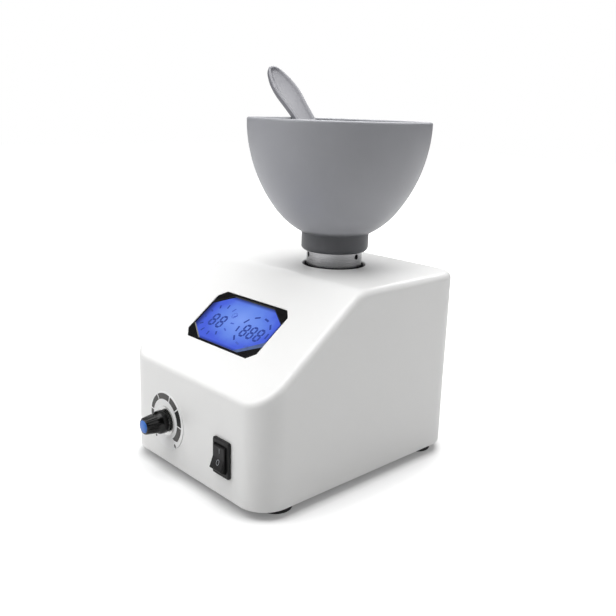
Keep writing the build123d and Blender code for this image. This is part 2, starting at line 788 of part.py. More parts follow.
# ---- Display ------------------------------------------------------------------------------
def display_bezel():
    outer_width = window_width - fit_gap
    outer = cut_corner_outline(outer_width, window_height - fit_gap, window_chamfer, window_chamfer)
    flange = cut_corner_outline(window_width + 5, window_height + 4, window_chamfer, window_chamfer)
    room = cut_corner_outline(window_width - 1.2, window_height - 1.2, window_chamfer, window_chamfer)
    view = cut_corner_outline(view_width, view_height, view_cut_x, view_cut_y)
    bezel = slab(outer, -wall, -0.2) + slab(flange, -glass_back, -wall)
    bezel -= slab(room, -glass_back - 1, -0.2 - lip_thickness)
    return bezel - slab(view, -2, 1)


def display_board():
    # the glass's board with its controller chip and plug header on the back
    outline = RectangleRounded(display_board_width, display_board_height, 2.0)
    for x, y in display_boss_spots:
        outline -= Pos(x, y) * Circle(display_screw_radius + hole_gap)
    back = display_board_back
    board = slab(outline, back, -board_depth)
    board += block(2, 16, -7, 7, back - 1.6, back)
    header = block(-7, 7, -2.5, 2.5, back - header_depth, back)
    return board + Pos(header_x, header_y, 0) * header


def build_display():
    glass = cut_corner_outline(window_width - 1.4, window_height - 1.4, window_chamfer, window_chamfer)
    pieces["display_bezel"] = slope_frame * display_bezel()
    pieces["display_glass"] = slope_frame * slab(glass, -glass_back, -0.2 - lip_thickness)
    pieces["display_backlight"] = slope_frame * slab(Rectangle(58.0, 32.5), -board_depth, -glass_back)
    pieces["display_board"] = slope_frame * display_board()
    screw = Rot(X=180) * pan_screw(4.6, display_screw_radius)
    pieces["display_screws"] = group(
        slope_frame * Pos(x, y, display_board_back) * screw for x, y in display_boss_spots
    )


# ---- Speed control ------------------------------------------------------------------------
def speed_potentiometer():
    # can, threaded bush and three solder terminals
    body = rod(pot_radius, -wall - pot_depth, -wall) + rod(bush_radius, -wall, bush_reach)
    for x in (-pot_terminal_x, 0.0, pot_terminal_x):
        body += block(x - 0.6, x + 0.6, -14, -6, pot_terminal_z - 0.3, pot_terminal_z + 0.3)
    return body - rod(pot_shaft_radius + 0.05, -wall - 8, bush_reach + 1)


def speed_knob():
    # skirt, fluted grip that narrows to the cap, and a moulded pointer line
    knob = turned(
        (0, skirt_low), (skirt_radius, skirt_low), (skirt_radius - 0.2, skirt_high - 0.9),
        (skirt_radius - 0.6, skirt_high), (grip_root_radius, skirt_high + 0.5),
        (grip_tip_radius, knob_reach - 0.3), (grip_tip_radius - 0.3, knob_reach), (0, knob_reach),
    )
    for step in range(flute_count):
        flute = Rot(Y=-6) * rod(0.45, 0, knob_reach)
        spot = Rot(Z=360 / flute_count * (step + 0.5)) * Pos(grip_root_radius + 0.35, 0, skirt_high + 0.9)
        knob -= spot * flute
    pointer = block(-0.45, 0.45, 4.0, 7.5, skirt_high + 0.2, knob_reach - 0.3)
    pointer &= turned(
        (0, skirt_high), (grip_root_radius + 0.3, skirt_high), (grip_tip_radius + 0.3, knob_reach),
        (0, knob_reach),
    )
    knob += pointer
    knob -= rod(skirt_radius - 1.0, skirt_low - 1, bush_reach + 0.5)
    knob -= rod(pot_shaft_radius + snug, skirt_low, knob_reach - 2.2)
    knob -= rod(cap_radius + snug, knob_reach - 1.4, knob_reach + 1)
    return Rot(Z=-pointer_turn) * knob


def build_speed_control():
    dial = Circle(dial_radius) - Circle(bush_radius + hole_gap)
    pieces["dial_plate"] = dial_frame * slab(dial, 0, dial_thickness)
    pieces["speed_potentiometer"] = dial_frame * speed_potentiometer()
    washer = slab(Circle(washer_radius) - Circle(bush_radius + 0.1), dial_thickness, dial_thickness + 0.8)
    pieces["potentiometer_washer"] = dial_frame * washer
    nut = Pos(0, 0, dial_thickness + 0.8) * Rot(Z=10) * hex_nut(9.0, 2.0, bush_radius + snug)
    pieces["potentiometer_nut"] = dial_frame * nut
    pieces["potentiometer_shaft"] = dial_frame * rod(pot_shaft_radius, -wall - 7, knob_reach - 2.4)
    pieces["speed_knob"] = dial_frame * speed_knob()
    cap = turned(
        (0, knob_reach - 1.4), (cap_radius, knob_reach - 1.4), (cap_radius, knob_reach),
        (cap_radius - cap_reach, knob_reach + cap_reach), (0, knob_reach + cap_reach),
    )
    pieces["knob_cap"] = dial_frame * cap


# ---- Rocker switch ------------------------------------------------------------------------
def switch_housing():
    room_y = rocker_radius + 0.25
    room_x = rocker_width / 2 + 0.25
    rim = slab(RectangleRounded(switch_width, switch_height, 1.0), 0, bezel_height)
    rim = chamfer(rim.faces().sort_by(Axis.Z)[-1].edges(), 0.5)
    housing = rim + slab(Rectangle(switch_body_width, switch_body_height), -switch_depth, 0)
    # snap lugs that hold the switch behind the panel
    for side in (-1, 1):
        root = side * (switch_body_height / 2 - 0.1)
        lug = polygon((root, -wall - 0.1), (root + side * 0.9, -wall - 0.1), (root, -wall - 4.0))
        housing += across(lug, 5.0)
    housing -= block(-room_x, room_x, -room_y, room_y, bezel_height - 9.0, bezel_height + 1)
    return housing - Pos(0, 0, pivot_height) * Rot(Y=90) * Cylinder(0.75, rocker_width + 2.0)


def rocker_button():
    # two flat faces that meet in a shallow valley, round ends about the pivot, and its pins
    corner = radians(rocker_corner_angle)
    up = rocker_radius * cos(corner)
    out = rocker_radius * sin(corner)
    valley = out - up * tan(radians(rocker_swing))
    low_up = rocker_radius * cos(radians(rocker_foot_angle))
    low_in = -rocker_radius * sin(radians(rocker_foot_angle))
    outline = make_face(Wire([
        Line((-up, out), (0, valley)),
        Line((0, valley), (up, out)),
        ThreePointArc((up, out), (rocker_radius, 0), (low_up, low_in)),
        Line((low_up, low_in), (-low_up, low_in)),
        ThreePointArc((-low_up, low_in), (-rocker_radius, 0), (-up, out)),
    ]))
    button = across(outline, rocker_width)
    return button + Rot(Y=90) * Cylinder(0.7, rocker_width + 1.6)


def build_switch():
    pieces["switch_housing"] = switch_frame * switch_housing()
    low = -switch_depth - 7.5
    pieces["switch_terminals"] = group(
        switch_frame * block(-2.4, 2.4, y - 0.4, y + 0.4, low, -switch_depth) for y in blade_spots
    )
    # at rest the switch is on, with the upper face pressed level with the panel
    pieces["rocker_button"] = switch_frame * Pos(0, 0, pivot_height) * Rot(X=-rocker_swing) * rocker_button()


# ---- Mains inlet --------------------------------------------------------------------------
def power_inlet():
    flange = slab(RectangleRounded(inlet_width, inlet_height, 3.0), 0, inlet_flange)
    inlet = flange + slab(Rectangle(inlet_body_width, inlet_body_height), -inlet_depth, 0)
    recess = polygon((-12, -8.2), (12, -8.2), (12, 3.3), (7.0, 8.3), (-7.0, 8.3), (-12, 3.3))
    inlet -= Pos(0, socket_y, 0) * slab(recess, -13.5, 3)
    inlet -= Pos(0, drawer_y, 0) * slab(Rectangle(22.4, 8.0), -18.0, 3)
    countersink = turned((0, 1.0), (1.7, 1.0), (3.2, inlet_flange + 0.01), (0, inlet_flange + 0.01))
    for x in (-inlet_screw_x, inlet_screw_x):
        inlet -= rod(screw_radius + hole_gap, -1, 4, x, 0)
        inlet -= Pos(x, 0, 0) * countersink
    pin_hole = Rectangle(2 + 2 * snug, 4 + 2 * snug)
    for x, y in pin_spots:
        inlet -= Pos(x, socket_y + y, 0) * slab(pin_hole, -inlet_depth - 1, -13)
    return inlet


def fuse_drawer():
    # finger-grip front and a tray with two cheeks
    drawer = slab(Rectangle(22.0, 7.6), 1.2, 3.8)
    drawer += block(-10.6, 10.6, -3.4, -2.6, -17.0, 1.2)
    for side in (-1, 1):
        drawer += block(side * 10.0 - 0.6, side * 10.0 + 0.6, -3.4, 3.2, -17.0, 1.2)
    return drawer - block(-4.5, 4.5, -4.0, -2.4, 2.6, 4.0)


def build_inlet():
    pieces["power_inlet"] = inlet_frame * power_inlet()
    pieces["inlet_pins"] = group(
        inlet_frame * block(x - 1, x + 1, socket_y + y - 2, socket_y + y + 2, -inlet_depth - pin_tail, -0.5)
        for x, y in pin_spots
    )
    drawer_frame = inlet_frame * Pos(0, drawer_y, 0)
    pieces["fuse_drawer"] = drawer_frame * fuse_drawer()
    # two fuses lie across the drawer, one in use and one spare
    fuse = Rot(Y=90) * rod(2.5, -9.2, 9.2)
    pieces["fuses"] = group(drawer_frame * Pos(0, 0.1, z) * fuse for z in (-4.6, -11.6))


# ---- Circuit boards -----------------------------------------------------------------------
def circuit_board():
    outline = RectangleRounded(circuit_width, circuit_length, 1.5)
    for x, y in circuit_hole_spots:
        outline -= Pos(x, y) * Circle(screw_radius + hole_gap)
    return slab(outline, circuit_bottom, circuit_top)


def heat_sink(height, width, depth):
    # back plate with five upright fins
    sink = block(-width / 2, width / 2, 0, 2, 0, height)
    for step in range(5):
        x = -width / 2 + step * (width - 1.2) / 4
        sink += block(x, x + 1.2, 1.5, depth, 0, height)
    return sink


def build_circuits():
    right = Pos(circuit_x, circuit_y, 0)
    left = Pos(-circuit_x, circuit_y, 0)
    right_top = right * Pos(0, 0, circuit_top)
    left_top = left * Pos(0, 0, circuit_top)
    pieces["power_board"] = right * circuit_board()
    pieces["control_board"] = left * (circuit_board() + block(-5, 5, 4, 14, circuit_top, circuit_top + 1.6))
    spacer = rod(3.0, base_top, circuit_bottom) - rod(screw_radius + hole_gap, base_top - 1, circuit_top)
    pieces["board_spacers"] = group(Pos(x, y, 0) * spacer for x, y in spacer_spots)
    core = block(-9.5, 9.5, -11, 11, 0, 18)
    winding = []
    for side in (-1, 1):
        core -= block(-5.5, 5.5, side * 9.5 - 2.5, side * 9.5 + 2.5, 3, 15)
        winding.append(block(-5.2, 5.2, side * 9.7 - 2.5, side * 9.7 + 2.5, 3.2, 14.8))
    pieces["power_transformer"] = right_top * Pos(0, -8, 0) * core
    pieces["transformer_winding"] = group(right_top * Pos(0, -8, 0) * part for part in winding)
    pieces["board_capacitors"] = group(
        right_top * rod(radius, 0, height, x, y)
        for radius, height, x, y in ((6.2, 16, 0, 12), (4.0, 12, 5.5, 24), (4.0, 12, -4.5, 24))
    )
    pieces["heat_sinks"] = group([
        right_top * Pos(0, 30, 0) * heat_sink(16, 13, 5), left_top * Pos(0, 17, 0) * heat_sink(18, 16, 9),
    ])
    terminal_block = block(-5, 5, terminal_front, terminal_front + 9, 0, 9)
    for x in (-terminal_hole_x, terminal_hole_x):
        terminal_block -= block(x - 1.3, x + 1.3, terminal_front - 1, terminal_front + 5, 2, 6)
    plugs = [left_top * block(-6, 6, y - 3, y + 3, 0, plug_height) for y in plug_spots]
    pieces["board_connectors"] = group([right_top * terminal_block] + plugs)


# ---- Leads --------------------------------------------------------------------------------
def lead(*points):
    # insulated lead through these points, with one round bend at each corner
    spots = [Vector(*point) for point in points]
    radii = []
    for before, corner, after in zip(spots, spots[1:], spots[2:]):
        arriving = corner - before
        leaving = after - corner
        turn = radians(arriving.get_angle(leaving))
        radii.append(0.45 * min(arriving.length, leaving.length) / tan(turn / 2))
    path = FilletPolyline(*spots, radius=radii)
    start = Plane(origin=path @ 0, z_dir=path % 0)
    return sweep(start * Circle(lead_radius), path=path)


def build_leads():
    pin_y = rear_y - inlet_depth - pin_tail
    pin_z = inlet_z + socket_y - 1.0
    blade_y = front_y + switch_depth + 7.5
    low_blade, high_blade = (switch_z + y for y in blade_spots)
    lane_x = 31.7            # between the plate's posts and the power board
    hole_y = circuit_y + terminal_front + 5
    hole_z = circuit_top + 4
    live = lead((7, pin_y, pin_z), (7, pin_y - 9, pin_z), (lane_x, pin_y - 20, 20.6),
                (lane_x, -33, 20.8), (switch_x, -44, low_blade), (switch_x, blade_y, low_blade))
    neutral = lead((-7, pin_y, pin_z), (-7, pin_y - 12, pin_z), (lane_x, pin_y - 27, 24.6),
                   (lane_x + 0.2, -33, 25.2), (circuit_x + terminal_hole_x, -44, hole_z),
                   (circuit_x + terminal_hole_x, hole_y, hole_z))
    switched = lead((switch_x, blade_y, high_blade), (switch_x, blade_y + 7, high_blade),
                    (circuit_x - terminal_hole_x, -45, hole_z), (circuit_x - terminal_hole_x, hole_y, hole_z))
    pieces["mains_leads"] = group([live, neutral, switched])

    plug_top = circuit_top + plug_height
    cap_side = motor_terminal_x + 1.5
    tab_z = motor_bottom - 1.6
    motor_plug_y = circuit_y + plug_spots[1]
    near = lead((-cap_side, motor_y, tab_z), (-26, motor_y, tab_z), (-31, motor_y + 2, 26),
                (-circuit_x + 3, motor_plug_y, 33), (-circuit_x + 3, motor_plug_y, plug_top))
    far = lead((motor_terminal_x, motor_y - 0.4, tab_z - 0.2), (motor_terminal_x, motor_y - 13, tab_z - 0.2),
               (-8, motor_y - 17, 10.2), (-28.5, motor_y - 6, 12.5), (-31, motor_y - 5, 27),
               (-circuit_x, motor_plug_y, 34), (-circuit_x, motor_plug_y, plug_top))
    front_plug_y = circuit_y + plug_spots[0]
    pot_y = front_y - pot_terminal_z
    pot = lead((dial_x - 5, pot_y, dial_z - 14), (dial_x - 5, pot_y, dial_z - 19),
               (-33, front_plug_y - 20, 13), (-circuit_x + 3, front_plug_y - 7, 27),
               (-circuit_x + 3, front_plug_y, 32), (-circuit_x + 3, front_plug_y, plug_top))
    header_back = display_board_back - header_depth
    header = tuple(slope_frame.from_local_coords((header_x, header_y, header_back)))
    drop = tuple(slope_frame.from_local_coords((header_x, header_y, header_back - 9)))
    display = lead(header, drop, (-circuit_x - 1, front_plug_y, 38), (-circuit_x - 1, front_plug_y, plug_top))
    pieces["signal_leads"] = group([near, far, pot, display])


# ---- Build, place and write ---------------------------------------------------------------
build_base()
build_drive()
build_spindle_top()
pieces["mixing_spatula"] = spatula()
build_display()
build_speed_control()
build_switch()
build_inlet()
build_circuits()
build_leads()

boxes = [piece.bounding_box(optimal=True) for piece in pieces.values()]
low_x, high_x = min(box.min.X for box in boxes), max(box.max.X for box in boxes)
low_y, high_y = min(box.min.Y for box in boxes), max(box.max.Y for box in boxes)
origin_shift = Location((-(low_x + high_x) / 2, -(low_y + high_y) / 2, 0.0))

os.makedirs("parts", exist_ok=True)
for name, piece in pieces.items():
    solids = [solid.moved(origin_shift) for solid in piece.solids()]
    placed = solids[0] if len(solids) == 1 else Compound(solids)
    export_step(placed, os.path.join("parts", name + ".step"))
print("parts", len(pieces), "origin shift", tuple(round(value, 4) for value in origin_shift.position))
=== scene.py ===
# Bench-top mixer for dental impression material: its looks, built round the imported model.
# Sizes in the dictionaries are millimetres, counted from the middle of the housing's footprint.
import json
from math import acos, atan2, cos, pi, radians, sin, sqrt, tan

import bmesh
import bpy
from mathutils import Matrix, Vector


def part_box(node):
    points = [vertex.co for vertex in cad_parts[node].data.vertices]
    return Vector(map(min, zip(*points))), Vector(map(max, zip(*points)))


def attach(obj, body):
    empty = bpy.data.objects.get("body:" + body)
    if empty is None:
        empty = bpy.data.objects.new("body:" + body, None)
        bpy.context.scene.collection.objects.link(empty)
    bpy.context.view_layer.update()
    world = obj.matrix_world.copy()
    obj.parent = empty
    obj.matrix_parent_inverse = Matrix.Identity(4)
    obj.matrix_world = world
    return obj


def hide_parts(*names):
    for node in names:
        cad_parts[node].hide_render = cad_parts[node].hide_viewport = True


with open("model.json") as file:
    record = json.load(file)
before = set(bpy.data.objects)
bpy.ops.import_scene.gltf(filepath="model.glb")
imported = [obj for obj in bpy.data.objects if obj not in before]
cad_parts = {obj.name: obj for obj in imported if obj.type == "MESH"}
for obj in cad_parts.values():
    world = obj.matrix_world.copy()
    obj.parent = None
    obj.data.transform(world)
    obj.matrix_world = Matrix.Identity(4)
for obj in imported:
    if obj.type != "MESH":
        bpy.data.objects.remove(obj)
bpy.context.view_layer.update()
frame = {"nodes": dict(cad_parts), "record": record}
record = frame["record"]

shellLow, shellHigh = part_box("upper_shell")
bodyCentre = Vector(((shellLow.x + shellHigh.x) / 2, (shellLow.y + shellHigh.y) / 2, 0))
toRow = Matrix.Translation(bodyCentre) @ Matrix.Scale(0.001, 4)  # body millimetres to the row's metres
print("frame loaded", len(frame["nodes"]), "nodes")


# small helpers
def place(x, y, z):
    return Matrix.Translation((x, y, z))


def frontPlace(x, z):
    # local x to the right, y up, z out of the front panel
    return Matrix(((1, 0, 0, x), (0, 0, -1, housing["front"]), (0, 1, 0, z), (0, 0, 0, 1)))


def newPiece(name, points, faces, spot, material, body, replaced=(), slot=None, sharpAngle=30):
    mesh = bpy.data.meshes.new(name)
    mesh.from_pydata([tuple(point) for point in points], [], faces)
    return meshPiece(name, mesh, spot, material, body, replaced, sharpAngle)


def meshPiece(name, mesh, spot, material, body, replaced=(), sharpAngle=30):
    mesh.transform(toRow @ spot)
    form = bmesh.new()
    form.from_mesh(mesh)
    bmesh.ops.remove_doubles(form, verts=form.verts, dist=1e-7)
    bmesh.ops.recalc_face_normals(form, faces=form.faces)
    form.to_mesh(mesh)
    form.free()
    mesh.shade_smooth()
    mesh.set_sharp_from_angle(angle=radians(sharpAngle))
    mesh.materials.clear()
    mesh.materials.append(material)
    piece = bpy.data.objects.new(name, mesh)
    bpy.context.collection.objects.link(piece)
    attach(piece, body)
    if replaced:
        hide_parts(*replaced)
    return piece


def softEdges(piece, width, segments=2, angle=30):
    # rounds the piece's sharp edges; width in millimetres
    bevel = piece.modifiers.new("edges", "BEVEL")
    bevel.width = width / 1000
    bevel.segments = segments
    bevel.limit_method = "ANGLE"
    bevel.angle_limit = radians(angle)
    bevel.use_clamp_overlap = True
    bevel.harden_normals = True
    return piece


def flatShading(piece):
    # keeps large flat faces flat beside small round ones
    normals = piece.modifiers.new("normals", "WEIGHTED_NORMAL")
    normals.keep_sharp = True
    normals.weight = 60
    return piece


def turnedMesh(name, outline, steps, radiusAt=None):
    # (radius, height) outline turned about z; a radius of 0 is a pole; radiusAt may vary it round the turn
    points, faces, rows = [], [], []
    for radius, height in outline:
        if radius < 1e-6:
            rows.append([len(points)])
            points.append((0, 0, height))
            continue
        row = []
        for step in range(steps):
            angle = 2 * pi * step / steps
            here = radiusAt(radius, height, angle) if radiusAt else radius
            row.append(len(points))
            points.append((here * cos(angle), here * sin(angle), height))
        rows.append(row)
    pairs = list(zip(rows, rows[1:]))
    if len(rows[0]) > 1 or len(rows[-1]) > 1:
        pairs.append((rows[-1], rows[0]))
    for low, high in pairs:
        for step in range(steps):
            after = (step + 1) % steps
            corners = [low[step % len(low)], low[after % len(low)], high[after % len(high)], high[step % len(high)]]
            corners = list(dict.fromkeys(corners))
            if len(corners) > 2:
                faces.append(corners)
    mesh = bpy.data.meshes.new(name)
    mesh.from_pydata(points, [], faces)
    return mesh


def arcPoints(centre, radius, first, last, steps):
    # points of an arc in a (radius, height) outline, angles in degrees from outward
    return [
        (centre[0] + radius * cos(radians(first + (last - first) * step / steps)),
         centre[1] + radius * sin(radians(first + (last - first) * step / steps)))
        for step in range(steps + 1)
    ]


def prism(outline, low, high):
    # points and faces of a flat outline with thickness
    count = len(outline)
    points = [(x, y, low) for x, y in outline] + [(x, y, high) for x, y in outline]
    faces = [[count - 1 - step for step in range(count)], [count + step for step in range(count)]]
    faces += [[step, (step + 1) % count, count + (step + 1) % count, count + step] for step in range(count)]
    return points, faces


def ringOfLoops(loops):
    # closed skin through matching loops, the last joined to the first
    count = len(loops[0])
    points = [point for loop in loops for point in loop]
    faces = []
    for row in range(len(loops)):
        after = (row + 1) % len(loops)
        for step in range(count):
            right = (step + 1) % count
            faces.append([row * count + step, row * count + right, after * count + right, after * count + step])
    return points, faces


def circleOutline(radius, steps):
    return [(radius * cos(2 * pi * step / steps), radius * sin(2 * pi * step / steps)) for step in range(steps)]


def roundedOutline(width, height, radius, steps):
    corners = [(1, 1, 0), (-1, 1, 90), (-1, -1, 180), (1, -1, 270)]
    outline = []
    for sideX, sideY, first in corners:
        centre = (sideX * (width / 2 - radius), sideY * (height / 2 - radius))
        outline += arcPoints(centre, radius, first, first + 90, steps)
    return outline


def cutCornerOutline(width, height, cutX, cutY):
    halfX, halfY = width / 2, height / 2
    return [
        (halfX, halfY - cutY), (halfX - cutX, halfY), (cutX - halfX, halfY), (-halfX, halfY - cutY),
        (-halfX, cutY - halfY), (cutX - halfX, -halfY), (halfX - cutX, -halfY), (halfX, cutY - halfY),
    ]


def joined(parts):
    # several (points, faces) made one
    points, faces = [], []
    for morePoints, moreFaces in parts:
        faces += [[index + len(points) for index in face] for face in moreFaces]
        points += list(morePoints)
    return points, faces


# materials
def colour(hexText):
    # sRGB hex to Blender's linear values
    values = [int(hexText[start:start + 2], 16) / 255 for start in (0, 2, 4)]
    return [value / 12.92 if value <= 0.04045 else ((value + 0.055) / 1.055) ** 2.4 for value in values] + [1.0]


def addNode(tree, kind, values=None, links=None, **settings):
    node = tree.nodes.new(kind)
    for name, value in settings.items():
        setattr(node, name, value)
    for socket, value in (values or {}).items():
        node.inputs[socket].default_value = value
    for socket, source in (links or {}).items():
        tree.links.new(source, node.inputs[socket])
    return node


def emptyMaterial(name):
    material = bpy.data.materials.new(name)
    material.use_nodes = True
    material.node_tree.nodes.clear()
    return material, material.node_tree


def finish(name, hexText, rough, grain, relief, tone=0.06, metallic=0.0, blotch=12.0, stretch=(1, 1, 1), lower=None,
           **principled):
    # a base colour with slow tone changes (blotch mm across) and a fine surface grain (grain mm);
    # lower is another colour below a height: (hex, all of it below, none above)
    material, tree = emptyMaterial(name)
    where = addNode(tree, "ShaderNodeTexCoord").outputs["Object"]
    scaled = addNode(tree, "ShaderNodeMapping", {"Scale": stretch}, {"Vector": where}).outputs[0]
    slow = addNode(tree, "ShaderNodeTexNoise", {"Scale": 1000 / blotch, "Detail": 3.0}, {"Vector": scaled})
    fine = addNode(tree, "ShaderNodeTexNoise", {"Scale": 1000 / grain, "Detail": 2.0}, {"Vector": scaled})
    base = colour(hexText)
    dark = [channel * (1 - tone) for channel in base[:3]] + [1.0]
    light = [min(1.0, channel * (1 + tone * 0.5)) for channel in base[:3]] + [1.0]
    shade = addNode(
        tree, "ShaderNodeMix", {6: dark, 7: light}, {0: slow.outputs["Fac"]}, data_type="RGBA"
    )
    if lower:
        height = addNode(tree, "ShaderNodeSeparateXYZ", links={0: where}).outputs[2]
        share = addNode(
            tree, "ShaderNodeMapRange", {"From Min": lower[1] / 1000, "From Max": lower[2] / 1000}, {"Value": height},
            interpolation_type="SMOOTHSTEP",
        )
        shade = addNode(
            tree, "ShaderNodeMix", {6: colour(lower[0])}, {0: share.outputs[0], 7: shade.outputs[2]}, data_type="RGBA"
        )
    roughness = addNode(
        tree, "ShaderNodeMapRange", {"From Min": 0.3, "From Max": 0.7, "To Min": rough * 0.88, "To Max": rough * 1.12},
        {"Value": fine.outputs["Fac"]},
    )
    bump = addNode(
        tree, "ShaderNodeBump", {"Strength": relief, "Distance": grain / 1000 * 0.35}, {"Height": fine.outputs["Fac"]}
    )
    surface = addNode(
        tree, "ShaderNodeBsdfPrincipled", {"Metallic": metallic, **principled},
        {"Base Color": shade.outputs[2], "Roughness": roughness.outputs[0], "Normal": bump.outputs[0]},
    )
    addNode(tree, "ShaderNodeOutputMaterial", links={"Surface": surface.outputs[0]})
    return material


# white ABS, injection moulded against a finely spark-eroded tool: a soft satin sheen with no sparkle
whiteAbs = finish("whiteAbsMoulded", "f3f3f2", 0.36, 0.5, 0.05, tone=0.012, blotch=60.0)
# silicone rubber, compression moulded: dull sheen, cloudy grey, drawn with coarser grain than it has;
# the neck below the bowl is painted a darker grey: painted shade where the bowl above shades it
greySilicone = finish(
    # the neck is drawn darker below this height: painted shade under the bowl
    "greySiliconeMoulded", "a3a4a9", 0.42, 0.7, 0.10, tone=0.05, blotch=18.0, lower=("56575b", 127.5, 131.5)
)
# polypropylene, moulded: a waxier grey than the bowl
greyPolypropylene = finish("greyPolypropyleneMoulded", "808086", 0.46, 0.5, 0.03, tone=0.04, blotch=9.0)
# black ABS, gloss moulded, round the display
blackGlossAbs = finish("blackAbsGlossMoulded", "08080a", 0.3, 0.6, 0.03, tone=0.1, IOR=1.4)
# black ABS with a fine texture, for the rocker switch
blackSatinAbs = finish("blackAbsSatinMoulded", "0c0c0d", 0.42, 0.35, 0.12, tone=0.12, IOR=1.36)
# black phenolic, moulded in a polished tool: the knob shows narrow streaks of light along its flutes
blackKnob = finish("blackPhenolicMoulded", "050505", 0.2, 0.5, 0.04, tone=0.1, IOR=1.4)
# blue polystyrene cap, moulded
bluePolystyrene = finish("bluePolystyreneMoulded", "3a78d4", 0.32, 0.4, 0.06, tone=0.08, blotch=3.0)
# printed polyester label
whiteLabel = finish("whitePolyesterLabel", "f6f6f6", 0.42, 0.3, 0.03, tone=0.01)
greyInk = finish("darkGreyScreenInk", "474543", 0.5, 0.25, 0.08, tone=0.08)
# painted shadow: the knob's shadow on the printed ring, drawn as black ink on one segment
knobShadowInk = finish("blackScreenInk", "101010", 0.5, 0.25, 0.08, tone=0.08)
paleInk = finish("paleGreyPadInk", "9a9ea4", 0.5, 0.2, 0.08, tone=0.05)
# natural rubber feet, black, dull
blackRubber = finish("blackRubberMoulded", "1b1b1c", 0.62, 0.6, 0.2, tone=0.12)

cadFinishes = {
    # zinc-plated sheet steel, rolled: faint streaks along the sheet
    "zinc_plate": finish("zincPlatedSheet", "a9abad", 0.42, 0.4, 0.06, metallic=1.0, blotch=30.0, stretch=(1, 0.15, 1)),
    "zinc_screws": finish("zincPlatedScrews", "c9c9c4", 0.3, 0.3, 0.08, metallic=1.0, blotch=4.0),
    "black_steel": finish("blackOxideSteel", "2a2a2c", 0.38, 0.3, 0.1, metallic=1.0, blotch=4.0),
    "aluminium": finish("milledAluminium", "d2d4d6", 0.34, 0.4, 0.08, metallic=1.0, blotch=10.0, stretch=(1, 0.1, 1)),
    "bearing_steel": finish("groundBearingSteel", "c4c4c6", 0.18, 0.3, 0.04, metallic=1.0),
    "gear_nylon": finish("naturalNylonMoulded", "e6e3d4", 0.45, 0.5, 0.08),
    "motor_steel": finish("drawnMotorSteel", "8f9092", 0.32, 0.5, 0.05, metallic=1.0, blotch=20.0),
    "black_moulding": finish("blackNylonMoulded", "17171a", 0.46, 0.4, 0.14, tone=0.12),
    "brass": finish("platedBrass", "d8b56a", 0.28, 0.3, 0.06, metallic=1.0, blotch=5.0),
    "seal_rubber": finish("sealRubber", "202021", 0.58, 0.5, 0.12),
    "backlight_plastic": finish("frostedAcrylic", "b9c4fb", 0.4, 0.5, 0.05),
    "circuit_board": finish("greenSolderResist", "1d6b40", 0.3, 0.5, 0.06, blotch=5.0),
    "plated_metal": finish("nickelPlatedSteel", "c6c6c5", 0.26, 0.3, 0.05, metallic=1.0),
    "fuse_glass": finish("fuseGlass", "dfe6e6", 0.08, 0.5, 0.02, tone=0.02),
    "spacer_nylon": finish("whiteNylonMoulded", "e8e8e0", 0.46, 0.4, 0.08),
    "core_steel": finish("varnishedLaminations", "3c3c3f", 0.4, 0.35, 0.3, stretch=(1, 1, 4)),
    "winding_tape": finish("polyesterWindingTape", "d9b73c", 0.36, 0.4, 0.06),
    "capacitor_sleeve": finish("capacitorSleeve", "1f2746", 0.3, 0.5, 0.05),
    "lead_insulation": finish("pvcLeadInsulation", "5a3326", 0.4, 0.5, 0.05),
    "shell_plastic": whiteAbs,
    "foot_rubber": blackRubber,
    "bowl_silicone": greySilicone,
    "spatula_plastic": greyPolypropylene,
    "bezel_plastic": blackGlossAbs,
    "dial_print": whiteLabel,
    "knob_plastic": blackKnob,
    "cap_plastic": bluePolystyrene,
    "switch_plastic": blackSatinAbs,
}


# turned stainless steel: rings left by the tool run round the hub, so its highlight spreads upright
def turnedSteel(name, hexText, rough, ringMm, axisX, axisY):
    # rings round an upright axis: the noise reads the height and the distance from the axis only
    material, tree = emptyMaterial(name)
    where = addNode(tree, "ShaderNodeTexCoord").outputs["Object"]
    local = addNode(tree, "ShaderNodeMapping", {"Location": (-axisX, -axisY, 0)}, {"Vector": where}).outputs[0]
    split = addNode(tree, "ShaderNodeSeparateXYZ", links={0: local})
    flat = addNode(tree, "ShaderNodeCombineXYZ", links={0: split.outputs[0], 1: split.outputs[1]})
    radius = addNode(tree, "ShaderNodeVectorMath", links={0: flat.outputs[0]}, operation="LENGTH")
    rings = addNode(tree, "ShaderNodeCombineXYZ", links={0: radius.outputs["Value"], 2: split.outputs[2]})
    lines = addNode(tree, "ShaderNodeTexNoise", {"Scale": 1000 / ringMm, "Detail": 2.0}, {"Vector": rings.outputs[0]})
    base = colour(hexText)
    shade = addNode(
        tree, "ShaderNodeMix", {6: [channel * 0.86 for channel in base[:3]] + [1.0], 7: base},
        {0: lines.outputs["Fac"]}, data_type="RGBA",
    )
    roughness = addNode(
        tree, "ShaderNodeMapRange", {"To Min": rough * 0.8, "To Max": rough * 1.25}, {"Value": lines.outputs["Fac"]}
    )
    bump = addNode(
        tree, "ShaderNodeBump", {"Strength": 0.12, "Distance": ringMm / 1000 * 0.2}, {"Height": lines.outputs["Fac"]}
    )
    surface = addNode(
        tree, "ShaderNodeBsdfPrincipled", {"Metallic": 1.0, "Anisotropic": 0.5},
        {"Base Color": shade.outputs[2], "Roughness": roughness.outputs[0], "Normal": bump.outputs[0]},
    )
    addNode(tree, "ShaderNodeOutputMaterial", links={"Surface": surface.outputs[0]})
    return material


# sizes of the housing, shared by what is set in it
housing = {
    "halfWidth": 60.0,
    "halfDepth": 75.0,
    "front": -75.0,
    "top": 109.4,
    "bottom": 5.0,
    "bend": 60.4,  # height of the bend between front and slope
    "slopeEnd": -9.6,
    "corner": 16.0,
    "edge": 4.0,
    "ridge": 12.0,
    "wall": 3.0,
    "spindleY": 29.3,
    "collar": 18.8,
    # steps round an upright corner, over the top edge and along the ridge
    "cornerSteps": 18,
    "edgeSteps": 10,
    "ridgeSteps": 10,
}
